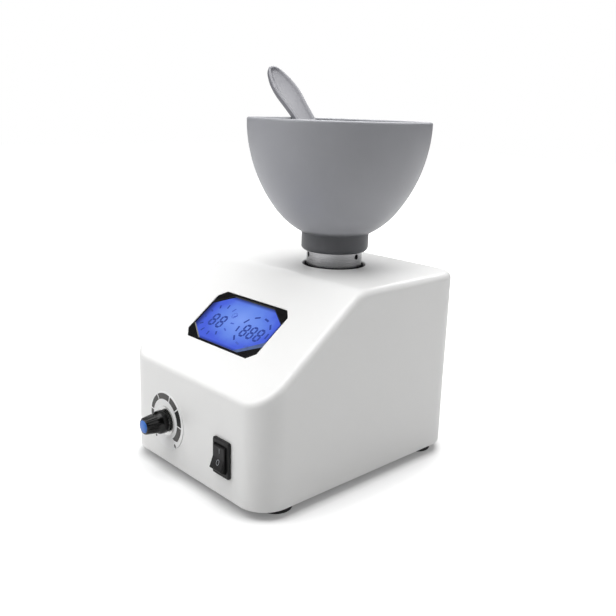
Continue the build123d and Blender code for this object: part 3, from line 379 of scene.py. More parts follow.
# what is set in the housing: middle on its panel, and the size of the opening
openings = {
    "window": {"x": -1.4, "along": 40.2, "width": 60.4, "height": 34.9, "cut": 4.5},
    "bush": {"x": -21.3, "z": 29.8, "radius": 3.7},
    "switch": {"x": 30.0, "z": 26.8, "width": 12.1, "height": 18.6},
    "inlet": {"z": 27.0, "width": 28.2, "height": 31.0},
}
slopeAngle = atan2(housing["top"] - housing["bend"], housing["slopeEnd"] - housing["front"])
spindle = place(0, housing["spindleY"], 0)


def slopePlace(x, along):
    # local x to the right, y up the slope, z out of it
    lean = Matrix.Rotation(slopeAngle, 4, "X")
    spot = (x, housing["front"] + along * cos(slopeAngle), housing["bend"] + along * sin(slopeAngle))
    return Matrix.Translation(spot) @ lean


cadFinishes["hub_steel"] = turnedSteel(
    "turnedStainless", "a6a6a8", 0.26, 0.35, bodyCentre.x, bodyCentre.y + housing["spindleY"] / 1000
)


# camera, fitted to the photograph
camera = {
    "azimuth": 46.42,
    "elevation": 14.82,
    "roll": 1.85,
    "distance": 433.28,
    "target": (6.73, 2.91, 87.31),
    "lens": 44.18,
    "sensor": 36.0,
}


def buildCamera():
    azimuth, elevation = radians(camera["azimuth"]), radians(camera["elevation"])
    back = Vector((sin(azimuth) * cos(elevation), -cos(azimuth) * cos(elevation), sin(elevation)))
    data = bpy.data.cameras.new("photoCamera")
    data.lens = camera["lens"]
    data.sensor_width = camera["sensor"]
    data.clip_start, data.clip_end = 0.01, 50
    eye = bpy.data.objects.new("photoCamera", data)
    bpy.context.collection.objects.link(eye)
    eye.location = toRow @ (Vector(camera["target"]) + back * camera["distance"])
    turn = (-back).to_track_quat("-Z", "Y").to_matrix().to_4x4()
    eye.rotation_euler = (turn @ Matrix.Rotation(radians(camera["roll"]), 4, "Z")).to_euler()
    bpy.context.scene.camera = eye


buildCamera()
print("camera placed")


# housing shell
def profileHeight(y, inset):
    # top of the side profile, all faces moved in by inset, with the round ridge
    slope = tan(slopeAngle)
    line = housing["bend"] + (y - housing["front"]) * slope - inset / cos(slopeAngle)
    flat = housing["top"] - inset
    ridge = housing["ridge"] - inset
    reach = housing["ridge"] * tan(slopeAngle / 2)
    ridgeEnd = housing["slopeEnd"] + reach
    centreY, centreZ = ridgeEnd, housing["top"] - housing["ridge"]
    startY = centreY - ridge * sin(slopeAngle)
    if y <= startY:
        return line
    if y >= centreY:
        return flat
    return centreZ + sqrt(max(0.0, ridge**2 - (y - centreY) ** 2))


def topNormal(y, inset):
    reach = housing["ridge"] * tan(slopeAngle / 2)
    centreY = housing["slopeEnd"] + reach
    ridge = housing["ridge"] - inset
    angle = max(0.0, min(slopeAngle, acos(max(-1.0, min(1.0, (y - centreY) / ridge))) - pi / 2)) if y < centreY else 0.0
    return Vector((0, -sin(angle), cos(angle)))


def shellRows(radius):
    # rolling-ball skin: each row belongs to one point of the core's plan outline
    core = housing["edge"]
    halfX, halfY = housing["halfWidth"] - core, housing["halfDepth"] - core
    corner = housing["corner"] - core
    reach = housing["ridge"] * tan(slopeAngle / 2)
    centreY = housing["slopeEnd"] + reach
    ridge = housing["ridge"] - core
    ridgeSteps, cornerSteps, edgeSteps = housing["ridgeSteps"], housing["cornerSteps"], housing["edgeSteps"]
    ridgeYs = [centreY - ridge * sin(slopeAngle * step / ridgeSteps) for step in range(ridgeSteps + 1)]
    right = [(0.0, -halfY, -90.0)]
    right += [
        (halfX - corner + corner * cos(radians(turn)), corner - halfY + corner * sin(radians(turn)), turn)
        for turn in [-90 + 90 * step / cornerSteps for step in range(cornerSteps + 1)]
    ]
    right += [(halfX, y, 0.0) for y in reversed(ridgeYs)]
    right += [
        (halfX - corner + corner * cos(radians(turn)), halfY - corner + corner * sin(radians(turn)), turn)
        for turn in [90 * step / cornerSteps for step in range(cornerSteps + 1)]
    ]
    right += [(0.0, halfY, 90.0)]
    rows = []
    for x, y, turn in right:
        side = Vector((cos(radians(turn)), sin(radians(turn)), 0))
        top = topNormal(y, core)
        base = Vector((x, y, profileHeight(y, core)))
        angle = acos(max(-1.0, min(1.0, side.dot(top))))
        row = [Vector((x, y, housing["bottom"])) + side * radius]
        for step in range(edgeSteps + 1):
            share = step / edgeSteps
            way = (side * sin((1 - share) * angle) + top * sin(share * angle)) / sin(angle)
            row.append(base + way * radius)
        rows.append(row)
    return rows


def shellSkin(radius):
    # one closed-top skin, open below; returns points, faces and the bottom loop
    rightRows = shellRows(radius)
    leftRows = [[Vector((-point.x, point.y, point.z)) for point in row] for row in rightRows[1:-1]]
    rows = rightRows + leftRows[::-1]
    height = len(rows[0])
    points = [point for row in rows for point in row]
    faces = []
    total = len(rows)
    for here in range(total):
        after = (here + 1) % total
        for level in range(height - 1):
            faces.append([here * height + level, after * height + level,
                          after * height + level + 1, here * height + level + 1])
    top = height - 1
    first = housing["cornerSteps"] + 2  # row where the ridge starts, after the front's centre and corner
    last = first + housing["ridgeSteps"]
    front = list(range(0, first + 1)) + list(range(total - first, total))
    faces.append([row * height + top for row in front])
    for row in range(first, last):
        faces.append([row * height + top, (row + 1) * height + top,
                      (total - row - 1) * height + top, (total - row) * height + top])
    rear = list(range(last, total - last + 1))
    faces.append([row * height + top for row in rear])
    return points, faces, [row * height for row in range(total)]


def cutter(name, points, faces, spot):
    mesh = bpy.data.meshes.new(name)
    mesh.from_pydata([tuple(point) for point in points], [], faces)
    mesh.transform(toRow @ spot)
    return mesh


def cutAway(piece, meshes):
    # takes every cutter out of the piece at once and keeps the result as its mesh
    form = bmesh.new()
    for mesh in meshes:
        form.from_mesh(mesh)
    bmesh.ops.recalc_face_normals(form, faces=form.faces)
    tools = bpy.data.meshes.new("tools")
    form.to_mesh(tools)
    form.free()
    tool = bpy.data.objects.new("tools", tools)
    bpy.context.collection.objects.link(tool)
    cut = piece.modifiers.new("cut", "BOOLEAN")
    cut.operation = "DIFFERENCE"
    cut.solver = "EXACT"
    cut.object = tool
    result = bpy.data.meshes.new_from_object(piece.evaluated_get(bpy.context.evaluated_depsgraph_get()))
    piece.modifiers.remove(cut)
    bpy.data.objects.remove(tool)
    old = piece.data
    piece.data = result
    result.name = old.name
    result.shade_smooth()
    result.set_sharp_from_angle(angle=radians(30))
    return piece


def buildShell():
    outerPoints, outerFaces, outerLoop = shellSkin(housing["edge"])
    innerPoints, innerFaces, innerLoop = shellSkin(housing["edge"] - housing["wall"])
    shift = len(outerPoints)
    points = outerPoints + innerPoints
    faces = outerFaces + [[index + shift for index in reversed(face)] for face in innerFaces]
    count = len(outerLoop)
    for step in range(count):
        after = (step + 1) % count
        faces.append([outerLoop[step], outerLoop[after], innerLoop[after] + shift, innerLoop[step] + shift])
    shell = newPiece("housingShell", points, faces, place(0, 0, 0), whiteAbs, "housing", ["upper_shell"],
                     "shell_plastic")
    window, bush, switchHole, inlet = (openings[name] for name in ("window", "bush", "switch", "inlet"))
    windowForm = cutCornerOutline(window["width"], window["height"], window["cut"], window["cut"])
    switchForm = roundedOutline(switchHole["width"], switchHole["height"], 0.3, 2)
    inletForm = roundedOutline(inlet["width"], inlet["height"], 0.3, 2)
    rearPlace = Matrix(((-1, 0, 0, 0), (0, 0, 1, housing["halfDepth"]), (0, 1, 0, inlet["z"]), (0, 0, 0, 1)))
    inside, outside = -6, 4  # every cut starts well inside the wall and ends well outside it
    cutAway(shell, [
        cutter("window", *prism(windowForm, inside, outside), slopePlace(window["x"], window["along"])),
        cutter("collar", *prism(circleOutline(housing["collar"], 96), 100, 116), spindle),
        cutter("bush", *prism(circleOutline(bush["radius"], 32), inside, outside), frontPlace(bush["x"], bush["z"])),
        cutter("switchHole", *prism(switchForm, inside, outside), frontPlace(switchHole["x"], switchHole["z"])),
        cutter("inlet", *prism(inletForm, inside + 1, outside), rearPlace),
    ])
    softEdges(shell, 0.25, 2, 60)
    flatShading(shell)
    return shell


buildShell()
print("shell built")


# bowl
bowl = {
    "rimHeight": 191.3,
    "rimRadius": 52.5,
    "drop": 67.6,
    "floorRadius": 44.5,
    "wall": 2.8,
    "hollow": 59.5,
    "hollowFloor": 44.0,
    "neck": 19.8,
    "neckBottom": 117.6,
    "neckEdge": 3.0,
    "socket": 16.6,
    "hubTop": 128.4,
}


def ovalOutline(halfWidth, drop, floorRadius, endRadius, steps):
    # rim to floor: a wide side arc that runs smoothly into a floor arc
    floorCentre = bowl["rimHeight"] - drop + floorRadius
    rise = drop - floorRadius
    sideRadius = (halfWidth**2 + rise**2 - floorRadius**2) / (2 * (halfWidth - floorRadius))
    join = atan2(rise, sideRadius - halfWidth)
    end = atan2(sqrt(floorRadius**2 - endRadius**2), endRadius)
    outline = [
        (halfWidth - sideRadius + sideRadius * cos(join * step / steps),
         bowl["rimHeight"] - sideRadius * sin(join * step / steps))
        for step in range(steps)
    ]
    outline += [
        (floorRadius * cos(join + (end - join) * step / steps),
         floorCentre - floorRadius * sin(join + (end - join) * step / steps))
        for step in range(steps + 1)
    ]
    return outline


def buildBowl():
    inner = ovalOutline(bowl["rimRadius"] - bowl["wall"], bowl["hollow"], bowl["hollowFloor"], 0.0, 22)
    inner[-1] = (0.0, inner[-1][1])
    outer = ovalOutline(bowl["rimRadius"], bowl["drop"], bowl["floorRadius"], bowl["neck"], 22)
    middle = bowl["rimRadius"] - bowl["wall"] / 2
    half = bowl["wall"] / 2
    rim = [
        (middle + half * cos(radians(turn)), bowl["rimHeight"] + 1.12 * sin(radians(turn)))
        for turn in range(20, 180, 20)
    ]
    bend = bowl["neckEdge"]
    edge = arcPoints((bowl["neck"] - bend, bowl["neckBottom"] + bend), bend, 0, -90, 8)
    socket = bowl["socket"]
    outline = inner[::-1] + rim[::-1] + outer + edge + [
        (socket, bowl["neckBottom"]), (socket, bowl["hubTop"]), (0.0, bowl["hubTop"]),
    ]
    mesh = turnedMesh("mixingBowl", outline, 144)
    return meshPiece("mixingBowl", mesh, spindle, greySilicone, "bowl", ["mixing_bowl"], 40)


buildBowl()
print("bowl built")


# hub
hub = {"radius": 16.3, "bottom": 91.0, "top": 128.4, "grubHeight": 115.4, "grubRadius": 1.52, "firstAngle": 7.0}


def buildHub():
    radius, low, high = hub["radius"], hub["bottom"], hub["top"]
    outline = [
        (4.0, low), (radius - 0.6, low), (radius, low + 0.6), (radius, high - 1.0), (radius - 1.0, high),
        (12.5, high), (12.5, high - 4), (8.0, high - 4), (8.0, high), (0.0, high), (0.0, 122.5), (4.0, 122.5),
    ]
    mesh = turnedMesh("spindleHub", outline, 128)
    piece = meshPiece("spindleHub", mesh, spindle, cadFinishes["hub_steel"], "spindle", ["spindle_hub"])
    holes = []
    for step in range(3):
        turn = Matrix.Rotation(radians(hub["firstAngle"] + 120 * step), 4, "Z") @ Matrix.Rotation(pi / 2, 4, "Y")
        holes.append(cutter("grubHole", *prism(circleOutline(hub["grubRadius"], 32), 4.2, radius + 2),
                            spindle @ place(0, 0, hub["grubHeight"]) @ turn))
    cutAway(piece, holes)
    softEdges(piece, 0.25, 2, 40)
    return piece


buildHub()
print("hub built")


# spatula
spatula = {
    "rest": (-49.1, 43.2, 195.9),
    "heading": 172.6,
    "lean": 50.7,
    "roll": -6.5,
    "above": 42.2,
    "below": 90.0,
    # (half width, distance from the handle's end)
    "handle": [(0, 0), (2.6, 0.9), (4.5, 3.6), (6.4, 9.0), (8.1, 16.5), (8.6, 26.0), (7.6, 38.0), (6.6, 52.0),
               (5.4, 66.0)],
    "blade": [(6.2, 74.0), (9.6, 83.0), (11.6, 91.0), (12.0, 98.0), (12.0, 112.0), (11.6, 120.0), (10.0, 126.5),
              (6.8, 130.6), (3.0, 132.0), (0, 132.2)],
    "thickness": 3.3,
    "rim": 1.8,
    "dish": 1.2,
    "dishEnd": 64.0,
}


def spatulaPlace():
    lean, heading = radians(spatula["lean"]), radians(spatula["heading"])
    along = Vector((sin(lean) * cos(heading), sin(lean) * sin(heading), cos(lean)))
    face = Vector((-cos(lean) * cos(heading), -cos(lean) * sin(heading), sin(lean)))
    face = Matrix.Rotation(radians(spatula["roll"]), 3, along) @ face
    across = along.cross(face)
    turn = Matrix((across, along, face)).transposed().to_4x4()
    return Matrix.Translation(spatula["rest"]) @ turn


def smoothStep(value):
    value = max(0.0, min(1.0, value))
    return value * value * (3 - 2 * value)


def curveThrough(knots, count):
    # smooth curve through (half width, distance) knots, denser at the ends
    spots = [Vector((width, distance, 0)) for width, distance in knots]
    samples = []
    for here in range(len(spots) - 1):
        before = spots[max(0, here - 1)]
        after = spots[min(len(spots) - 1, here + 2)]
        start, end = spots[here], spots[here + 1]
        for step in range(count):
            share = step / count
            tangentIn = (end - before) * 0.5
            tangentOut = (after - start) * 0.5
            if here == 0:
                tangentIn = Vector((end.x, 0, 0)) * 1.3
            if here == len(spots) - 2:
                tangentOut = Vector((-start.x, 0, 0)) * 1.3
            square, cube = share**2, share**3
            samples.append(
                start * (2 * cube - 3 * square + 1) + tangentIn * (cube - 2 * square + share)
                + end * (3 * square - 2 * cube) + tangentOut * (cube - square)
            )
    samples.append(spots[-1])
    return samples


def buildSpatula():
    # loops that follow the edge, moved in step by step: (inward, height) over the face, then under it
    edge = curveThrough(spatula["handle"] + spatula["blade"], 9)
    half, dish = spatula["thickness"] / 2, spatula["dish"]
    last = spatula["above"] + spatula["below"]
    rim = spatula["rim"]
    over = [(0.0, -0.55), (0.08, -0.3), (0.26, -0.1), (0.55, 0.0), (rim - 0.3, 0.0), (rim, -0.06), (rim + 0.4, -0.3),
            (rim + 0.8, -0.62), (rim + 1.2, -0.86), (rim + 1.6, -1.0)]
    under = [(0.0, 0.55), (0.08, 0.3), (0.26, 0.1), (0.55, 0.0), (2.4, 0.0)]

    def underside(distance):
        # the blade is planed thin from below
        shoulder = last - 40
        return -half + 0.9 * smoothStep((distance - shoulder + 22) / 22) + 1.2 * smoothStep((distance - shoulder) / 40)

    side = []
    for here, spot in enumerate(edge):
        before, after = edge[max(0, here - 1)], edge[min(len(edge) - 1, here + 1)]
        along = (after - before).normalized()
        outward = Vector((along.y, -along.x, 0))
        # inside the two round ends the steps point at the end's own middle, so the loops never cross
        for endWidth, reached, turn in ((7.6, spot.y < 14.0, -1), (12.0, spot.y > last - 17.0, 1)):
            if reached:
                share = min(1.0, spot.x / endWidth)
                outward = Vector((share, turn * sqrt(1 - share**2), 0))
        side.append((spot, outward))
    order = [(spot, outward, 1) for spot, outward in side] + [(spot, outward, -1) for spot, outward in side[-2:0:-1]]

    def loopAt(inward, drop, upper):
        loop = []
        for spot, outward, sign in order:
            near = spot - outward * inward
            x, distance = max(near.x, 0.0), near.y
            if upper:
                deep = drop if inward < rim - 0.2 else drop * dish * smoothStep((spatula["dishEnd"] + 3 - spot.y) / 9)
                height = half + deep
            else:
                height = underside(distance) + drop * min(1.0, (half - underside(distance)) / 1.6)
            loop.append((sign * x, spatula["above"] - distance, height))
        return loop

    loops = [loopAt(inward, drop, True) for inward, drop in reversed(over)] + [loopAt(*step, False) for step in under]
    count = len(order)
    points = [point for loop in loops for point in loop]
    faces = []
    for row in range(0, (len(loops) - 1) * count, count):
        for step in range(count):
            after = (step + 1) % count
            faces.append([row + step, row + after, row + count + after, row + count + step])
    # straight across between the two sides, over and under
    middle = len(edge) - 1
    for base, flip in ((0, True), ((len(loops) - 1) * count, False)):
        for step in range(middle):
            face = [base + step, base + step + 1, base + (count - step - 1) % count, base + (count - step) % count]
            face = list(dict.fromkeys(face))
            faces.append(face[::-1] if flip else face)
    return newPiece("mixingSpatula", points, faces, spatulaPlace(), greyPolypropylene, "spatula", ["mixing_spatula"],
                    "spatula_plastic", 60)


buildSpatula()
print("spatula built")


# display
display = {
    "x": openings["window"]["x"],
    "along": openings["window"]["along"],
    "width": 60.1,
    "height": 34.6,
    "cut": 4.5,
    "viewWidth": 58.8,
    "viewHeight": 31.2,
    "viewCutX": 12.7,
    "viewCutY": 8.0,
    "front": -0.2,
    "lip": -0.8,
    "back": -4.2,
    # the pale middle of the glow: its shift, its scale across and along the slope, and its colours outward
    "glowShift": (-0.05, -0.12),
    "glowScale": (31.0, 48.0),
    "glowColours": ["80a2f6", "688cea", "4a64dc"],
    # how far in the panel's edges are darkened, and how much: left, right, bottom and top; painted shade of the
    # window's recess
    "shadedEdges": [(0, -29.2, -23.8, 0.2), (0, 29.2, 27.2, 0.5), (1, -15.6, -13.8, 0.45), (1, 15.6, 13.2, 0.3)],
}


def litPanel():
    # backlit liquid crystal behind acrylic: it glows violet blue, palest in the middle; its edges are darkened by
    # painted shade of the window's recess
    material, tree = emptyMaterial("litCrystalPanel")
    where = addNode(tree, "ShaderNodeTexCoord").outputs["Object"]
    centre = (toRow @ slopePlace(display["x"], display["along"])).translation
    local = addNode(tree, "ShaderNodeMapping", {"Location": -centre}, {"Vector": where}).outputs[0]
    turned = addNode(tree, "ShaderNodeMapping", {"Rotation": (-slopeAngle, 0, 0)}, {"Vector": local}).outputs[0]
    wide = addNode(
        tree, "ShaderNodeMapping", {"Location": (*display["glowShift"], 0), "Scale": (*display["glowScale"], 0.0)},
        {"Vector": turned},
    )
    reach = addNode(tree, "ShaderNodeVectorMath", links={0: wide.outputs[0]}, operation="LENGTH")
    cloud = addNode(tree, "ShaderNodeTexNoise", {"Scale": 110.0, "Detail": 3.0}, {"Vector": where})
    mixed = addNode(
        tree, "ShaderNodeMath", {1: 0.35}, {0: cloud.outputs["Fac"], 2: reach.outputs["Value"]},
        operation="MULTIPLY_ADD",
    )
    stops = addNode(tree, "ShaderNodeValToRGB", links={0: mixed.outputs[0]})
    inner, middle, outer = (colour(hexText) for hexText in display["glowColours"])
    elements = stops.color_ramp.elements
    elements[0].position, elements[0].color = 0.2, inner
    elements[1].position, elements[1].color = 1.0, outer
    elements.new(0.68).color = middle
    axes = addNode(tree, "ShaderNodeSeparateXYZ", links={0: turned}).outputs
    glow = None
    # each edge's glow is lowered here: painted shade where the recess walls shade the panel
    for axis, edge, inside, dim in display["shadedEdges"]:
        shade = addNode(
            tree, "ShaderNodeMapRange",
            {"From Min": edge / 1000, "From Max": inside / 1000, "To Min": dim, "To Max": 0.94},
            {"Value": axes[axis]}, interpolation_type="SMOOTHSTEP",
        ).outputs[0]
        glow = shade if glow is None else addNode(
            tree, "ShaderNodeMath", links={0: glow, 1: shade}, operation="MINIMUM"
        ).outputs[0]
    surface = addNode(
        tree, "ShaderNodeBsdfPrincipled", {"Base Color": colour("14143c"), "Roughness": 0.2},
        {"Emission Color": stops.outputs[0], "Emission Strength": glow},
    )
    addNode(tree, "ShaderNodeOutputMaterial", links={"Surface": surface.outputs[0]})
    return material


def glowingInk(name, darkHex, lightHex, strength):
    # darkened crystal and printed film only hold back the light behind them, so they stay blue
    material, tree = emptyMaterial(name)
    where = addNode(tree, "ShaderNodeTexCoord").outputs["Object"]
    cloud = addNode(tree, "ShaderNodeTexNoise", {"Scale": 400.0, "Detail": 2.0}, {"Vector": where})
    shade = addNode(
        tree, "ShaderNodeMix", {6: colour(darkHex), 7: colour(lightHex)}, {0: cloud.outputs["Fac"]}, data_type="RGBA"
    )
    surface = addNode(
        tree, "ShaderNodeBsdfPrincipled",
        {"Base Color": colour("0c0c30"), "Roughness": 0.25, "Emission Strength": strength},
        {"Emission Color": shade.outputs[2]},
    )
    addNode(tree, "ShaderNodeOutputMaterial", links={"Surface": surface.outputs[0]})
    return material


darkSegment = glowingInk("darkCrystalSegment", "30489c", "3e58b4", 0.78)
paleSegment = glowingInk("faintCrystalSegment", "4660c8", "5a76da", 0.85)
# a grey glow standing in for the shaded inner bevel of the window: painted shade
bevelShadeBand = glowingInk("frostedGuideEdge", "46527c", "7088b4", 0.8)


def flatLoop(outline, height):
    return [(x, y, height) for x, y in outline]


def buildDisplay():
    spot = slopePlace(display["x"], display["along"])
    width, height, cut = display["width"], display["height"], display["cut"]
    outer = cutCornerOutline(width, height, cut, cut)
    flange = cutCornerOutline(65.4, 38.9, cut, cut)
    room = cutCornerOutline(59.2, 33.7, cut, cut)
    view = cutCornerOutline(display["viewWidth"], display["viewHeight"], display["viewCutX"], display["viewCutY"])
    mouth = cutCornerOutline(display["viewWidth"] + 0.5, display["viewHeight"] + 1.0, display["viewCutX"] - 0.1,
                             display["viewCutY"] - 0.1)
    front, lip, back = display["front"], display["lip"], display["back"]
    loops = [
        flatLoop(view, lip), flatLoop(mouth, front), flatLoop(outer, front), flatLoop(outer, -3.0),
        flatLoop(flange, -3.0), flatLoop(flange, back), flatLoop(room, back), flatLoop(room, lip),
    ]
    bezel = newPiece("displayBezel", *ringOfLoops(loops), spot, blackGlossAbs, "housing", ["display_bezel"],
                     "bezel_plastic", 20)
    softEdges(bezel, 0.12, 2, 20)
    glass = newPiece("displayPanel", *prism(cutCornerOutline(59.0, 33.5, cut, cut), back, lip), spot, litPanel(),
                     "housing", ["display_glass"], "display_glass", 20)
    softEdges(glass, 0.1, 2, 20)
    # a glowing grey band inside the lower right corner of the window: painted shade on the window's inner bevel there
    halfX, halfY = display["viewWidth"] / 2, display["viewHeight"] / 2
    cutX, cutY = display["viewCutX"], display["viewCutY"]
    band = [(halfX, cutY - halfY - 0.3), (halfX, cutY - halfY + 3.4), (halfX - cutX + 0.6, -halfY + 3.0),
            (halfX - cutX - 4.2, -halfY), (halfX - cutX + 0.3, -halfY)]
    newPiece("displayGuideEdge", *prism(band, lip + 0.004, lip + 0.02), spot, bevelShadeBand, "housing", (),
             "display_glass", 20)


# bars of a seven-segment figure: (middle x, middle y, upright?) in figure widths and heights
sevenBars = [
    (0, 1, False), (0, 0, False), (0, -1, False), (-1, 0.5, True), (1, 0.5, True), (-1, -0.5, True), (1, -0.5, True),
]
figures = {
    # middle x, middle y along the slope from the panel's middle, and size; nearly upright
    "left": {"spots": [(-18.0, -2.0), (-11.4, -2.0)], "halfWidth": 1.85, "halfHeight": 3.75, "bar": 1.35},
    "right": {"spots": [(9.5, -2.2), (15.2, -2.2), (21.0, -2.2)], "halfWidth": 1.75, "halfHeight": 3.7, "bar": 1.3},
    "slant": 0.05,
}


def bar(x, y, length, thick, upright, slant):
    # one six-sided bar with pointed ends
    half, side = length / 2, thick / 2
    outline = [(-half, 0), (side - half, -side), (half - side, -side), (half, 0), (half - side, side),
               (side - half, side)]
    if upright:
        outline = [(-b, a) for a, b in outline]
    return [(x + a + (y + b) * slant, y + b) for a, b in outline]


def buildFigures():
    spot = slopePlace(display["x"], display["along"])
    parts = []
    low, high = display["lip"] + 0.004, display["lip"] + 0.03
    slant = figures["slant"]
    for side in ("left", "right"):
        figure = figures[side]
        for middleX, middleY in figure["spots"]:
            for x, y, upright in sevenBars:
                barX = x * figure["halfWidth"]
                barY = y * figure["halfHeight"]
                length = figure["halfHeight"] - 0.25 if upright else 2 * figure["halfWidth"] - 0.25
                outline = bar(barX, barY, length, figure["bar"], upright, slant)
                parts.append(prism([(middleX + a, middleY + b) for a, b in outline], low, high))
    newPiece("displayFigures", *joined(parts), spot, darkSegment, "housing", (), "display_glass", 20)


buildDisplay()
buildFigures()
print("display built")


# marks round the figures, made by a node tree
dialMarks = {
    # middle x, middle y, radii, first and last angle, count, mark length across and along the ring, ink
    "leftRing": {"middle": (-14.9, -1.4), "radii": (11.8, 9.8), "from": 94, "to": 304, "count": 8, "mark": (2.5, 1.0),
                 "ink": darkSegment},
    "leftRingPale": {"middle": (-14.9, -1.4), "radii": (11.8, 9.8), "from": -26, "to": 64, "count": 4,
                     "mark": (2.7, 0.9), "ink": paleSegment},
    "rightRing": {"middle": (14.9, -1.6), "radii": (11.4, 10.0), "from": 3, "to": 222, "count": 7, "mark": (1.15, 3.7),
                  "ink": darkSegment},
    "rightRingPale": {"middle": (14.9, -1.6), "radii": (11.2, 9.6), "from": -107, "to": -70, "count": 2,
                      "mark": (1.0, 3.3), "ink": paleSegment},
    "sun": {"middle": (-6.2, 4.3), "radii": (1.7, 1.7), "from": 0, "to": 324, "count": 10, "mark": (0.8, 0.5),
            "ink": paleSegment},
}


def markTree():
    tree = bpy.data.node_groups.new("marksOnOval", "GeometryNodeTree")
    for name, kind in (("Middle", "NodeSocketVector"), ("Radius X", "NodeSocketFloat"), ("Radius Y", "NodeSocketFloat"),
                       ("From", "NodeSocketFloat"), ("To", "NodeSocketFloat"), ("Count", "NodeSocketInt"),
                       ("Mark Size", "NodeSocketVector"), ("Ink", "NodeSocketMaterial")):
        tree.interface.new_socket(name, in_out="INPUT", socket_type=kind)
    tree.interface.new_socket("Geometry", in_out="OUTPUT", socket_type="NodeSocketGeometry")
    given = addNode(tree, "NodeGroupInput").outputs
    last = addNode(tree, "ShaderNodeMath", {1: 1.0}, {0: given["Count"]}, operation="SUBTRACT").outputs[0]
    index = addNode(tree, "GeometryNodeInputIndex").outputs[0]
    share = addNode(tree, "ShaderNodeMath", links={0: index, 1: last}, operation="DIVIDE").outputs[0]
    angle = addNode(
        tree, "ShaderNodeMapRange", links={"Value": share, "To Min": given["From"], "To Max": given["To"]}
    ).outputs[0]
    turn = addNode(tree, "ShaderNodeMath", links={0: angle}, operation="RADIANS").outputs[0]
    cosine = addNode(tree, "ShaderNodeMath", links={0: turn}, operation="COSINE").outputs[0]
    sine = addNode(tree, "ShaderNodeMath", links={0: turn}, operation="SINE").outputs[0]
    x = addNode(tree, "ShaderNodeMath", links={0: cosine, 1: given["Radius X"]}, operation="MULTIPLY").outputs[0]
    y = addNode(tree, "ShaderNodeMath", links={0: sine, 1: given["Radius Y"]}, operation="MULTIPLY").outputs[0]
    spot = addNode(tree, "ShaderNodeCombineXYZ", links={0: x, 1: y}).outputs[0]
    moved = addNode(tree, "ShaderNodeVectorMath", links={0: spot, 1: given["Middle"]}, operation="ADD").outputs[0]
    spots = addNode(tree, "GeometryNodePoints", links={"Count": given["Count"], "Position": moved}).outputs[0]
    mark = addNode(tree, "GeometryNodeMeshCube", links={"Size": given["Mark Size"]}).outputs[0]
    facing = addNode(tree, "ShaderNodeCombineXYZ", links={2: turn}).outputs[0]
    placed = addNode(
        tree, "GeometryNodeInstanceOnPoints", links={"Points": spots, "Instance": mark, "Rotation": facing}
    ).outputs[0]
    real = addNode(tree, "GeometryNodeRealizeInstances", links={0: placed}).outputs[0]
    inked = addNode(tree, "GeometryNodeSetMaterial", links={"Geometry": real, "Material": given["Ink"]}).outputs[0]
    addNode(tree, "NodeGroupOutput", links={0: inked})
    return tree


def treeMesh(name, tree, inputs):
    # runs a node tree on an empty mesh and keeps its result as a plain mesh
    holder = bpy.data.objects.new(name, bpy.data.meshes.new(name))
    bpy.context.collection.objects.link(holder)
    nodes = holder.modifiers.new("tree", "NODES")
    nodes.node_group = tree
    sockets = {item.name: item.identifier for item in tree.interface.items_tree if item.in_out == "INPUT"}
    for socketName, value in inputs.items():
        nodes[sockets[socketName]] = value
    result = bpy.data.meshes.new_from_object(holder.evaluated_get(bpy.context.evaluated_depsgraph_get()))
    bpy.data.objects.remove(holder)
    return result


def buildMarks():
    tree = markTree()
    spot = slopePlace(display["x"], display["along"])
    for name, marks in dialMarks.items():
        mesh = treeMesh(name, tree, {
            "Middle": (*marks["middle"], display["lip"] + 0.034),
            "Radius X": marks["radii"][0], "Radius Y": marks["radii"][1],
            "From": float(marks["from"]), "To": float(marks["to"]), "Count": marks["count"],
            "Mark Size": (*marks["mark"], 0.026), "Ink": marks["ink"],
        })
        meshPiece("displayMarks_" + name, mesh, spot, marks["ink"], "housing", (), 20)


buildMarks()
print("display marks built")


# speed dial and knob
dial = {
    "x": openings["bush"]["x"],
    "z": openings["bush"]["z"],
    "hole": openings["bush"]["radius"],
    "disc": 16.4,
    "thick": 0.4,
    "ringMiddle": (0.1, 0.9),  # the printed ring sits a little off the knob's axis
    "outer": 14.6,
    "innerShift": (-0.8, -0.45),  # the inner circle lies off the outer one's middle, so the ring grows wider
    "inner": 11.5,
    "breaks": [222.0, 170.3, 124.5, 74.5, 38.5, -4.3, -57.0],
    "cutHeight": -9.3,  # the last segment ends level here
    "breakWidth": 3.2,  # degrees
    "ink": 0.03,
    "steps": 14,
    # the segment drawn black stands in for the knob's shadow on the ring: painted shadow
    "darkSegment": 4,  # the black one, counted from the first break
    "ticks": [(8.6, -12.4, -60, 2.6), (-9.8, -12.0, 60, 1.8)],  # x, y, turn in degrees, length
    "tickThick": 1.4,
}


def ringInner(angle):
    # from the outer circle's middle to the inner circle
    shiftX, shiftY = dial["innerShift"]
    along = shiftX * cos(radians(angle)) + shiftY * sin(radians(angle))
    return along + sqrt(along**2 + dial["inner"] ** 2 - shiftX**2 - shiftY**2)


def ringSpot(radius, angle, levelEnd):
    x = dial["ringMiddle"][0] + radius * cos(radians(angle))
    y = dial["ringMiddle"][1] + radius * sin(radians(angle))
    return (x, max(y, dial["cutHeight"])) if levelEnd else (x, y)


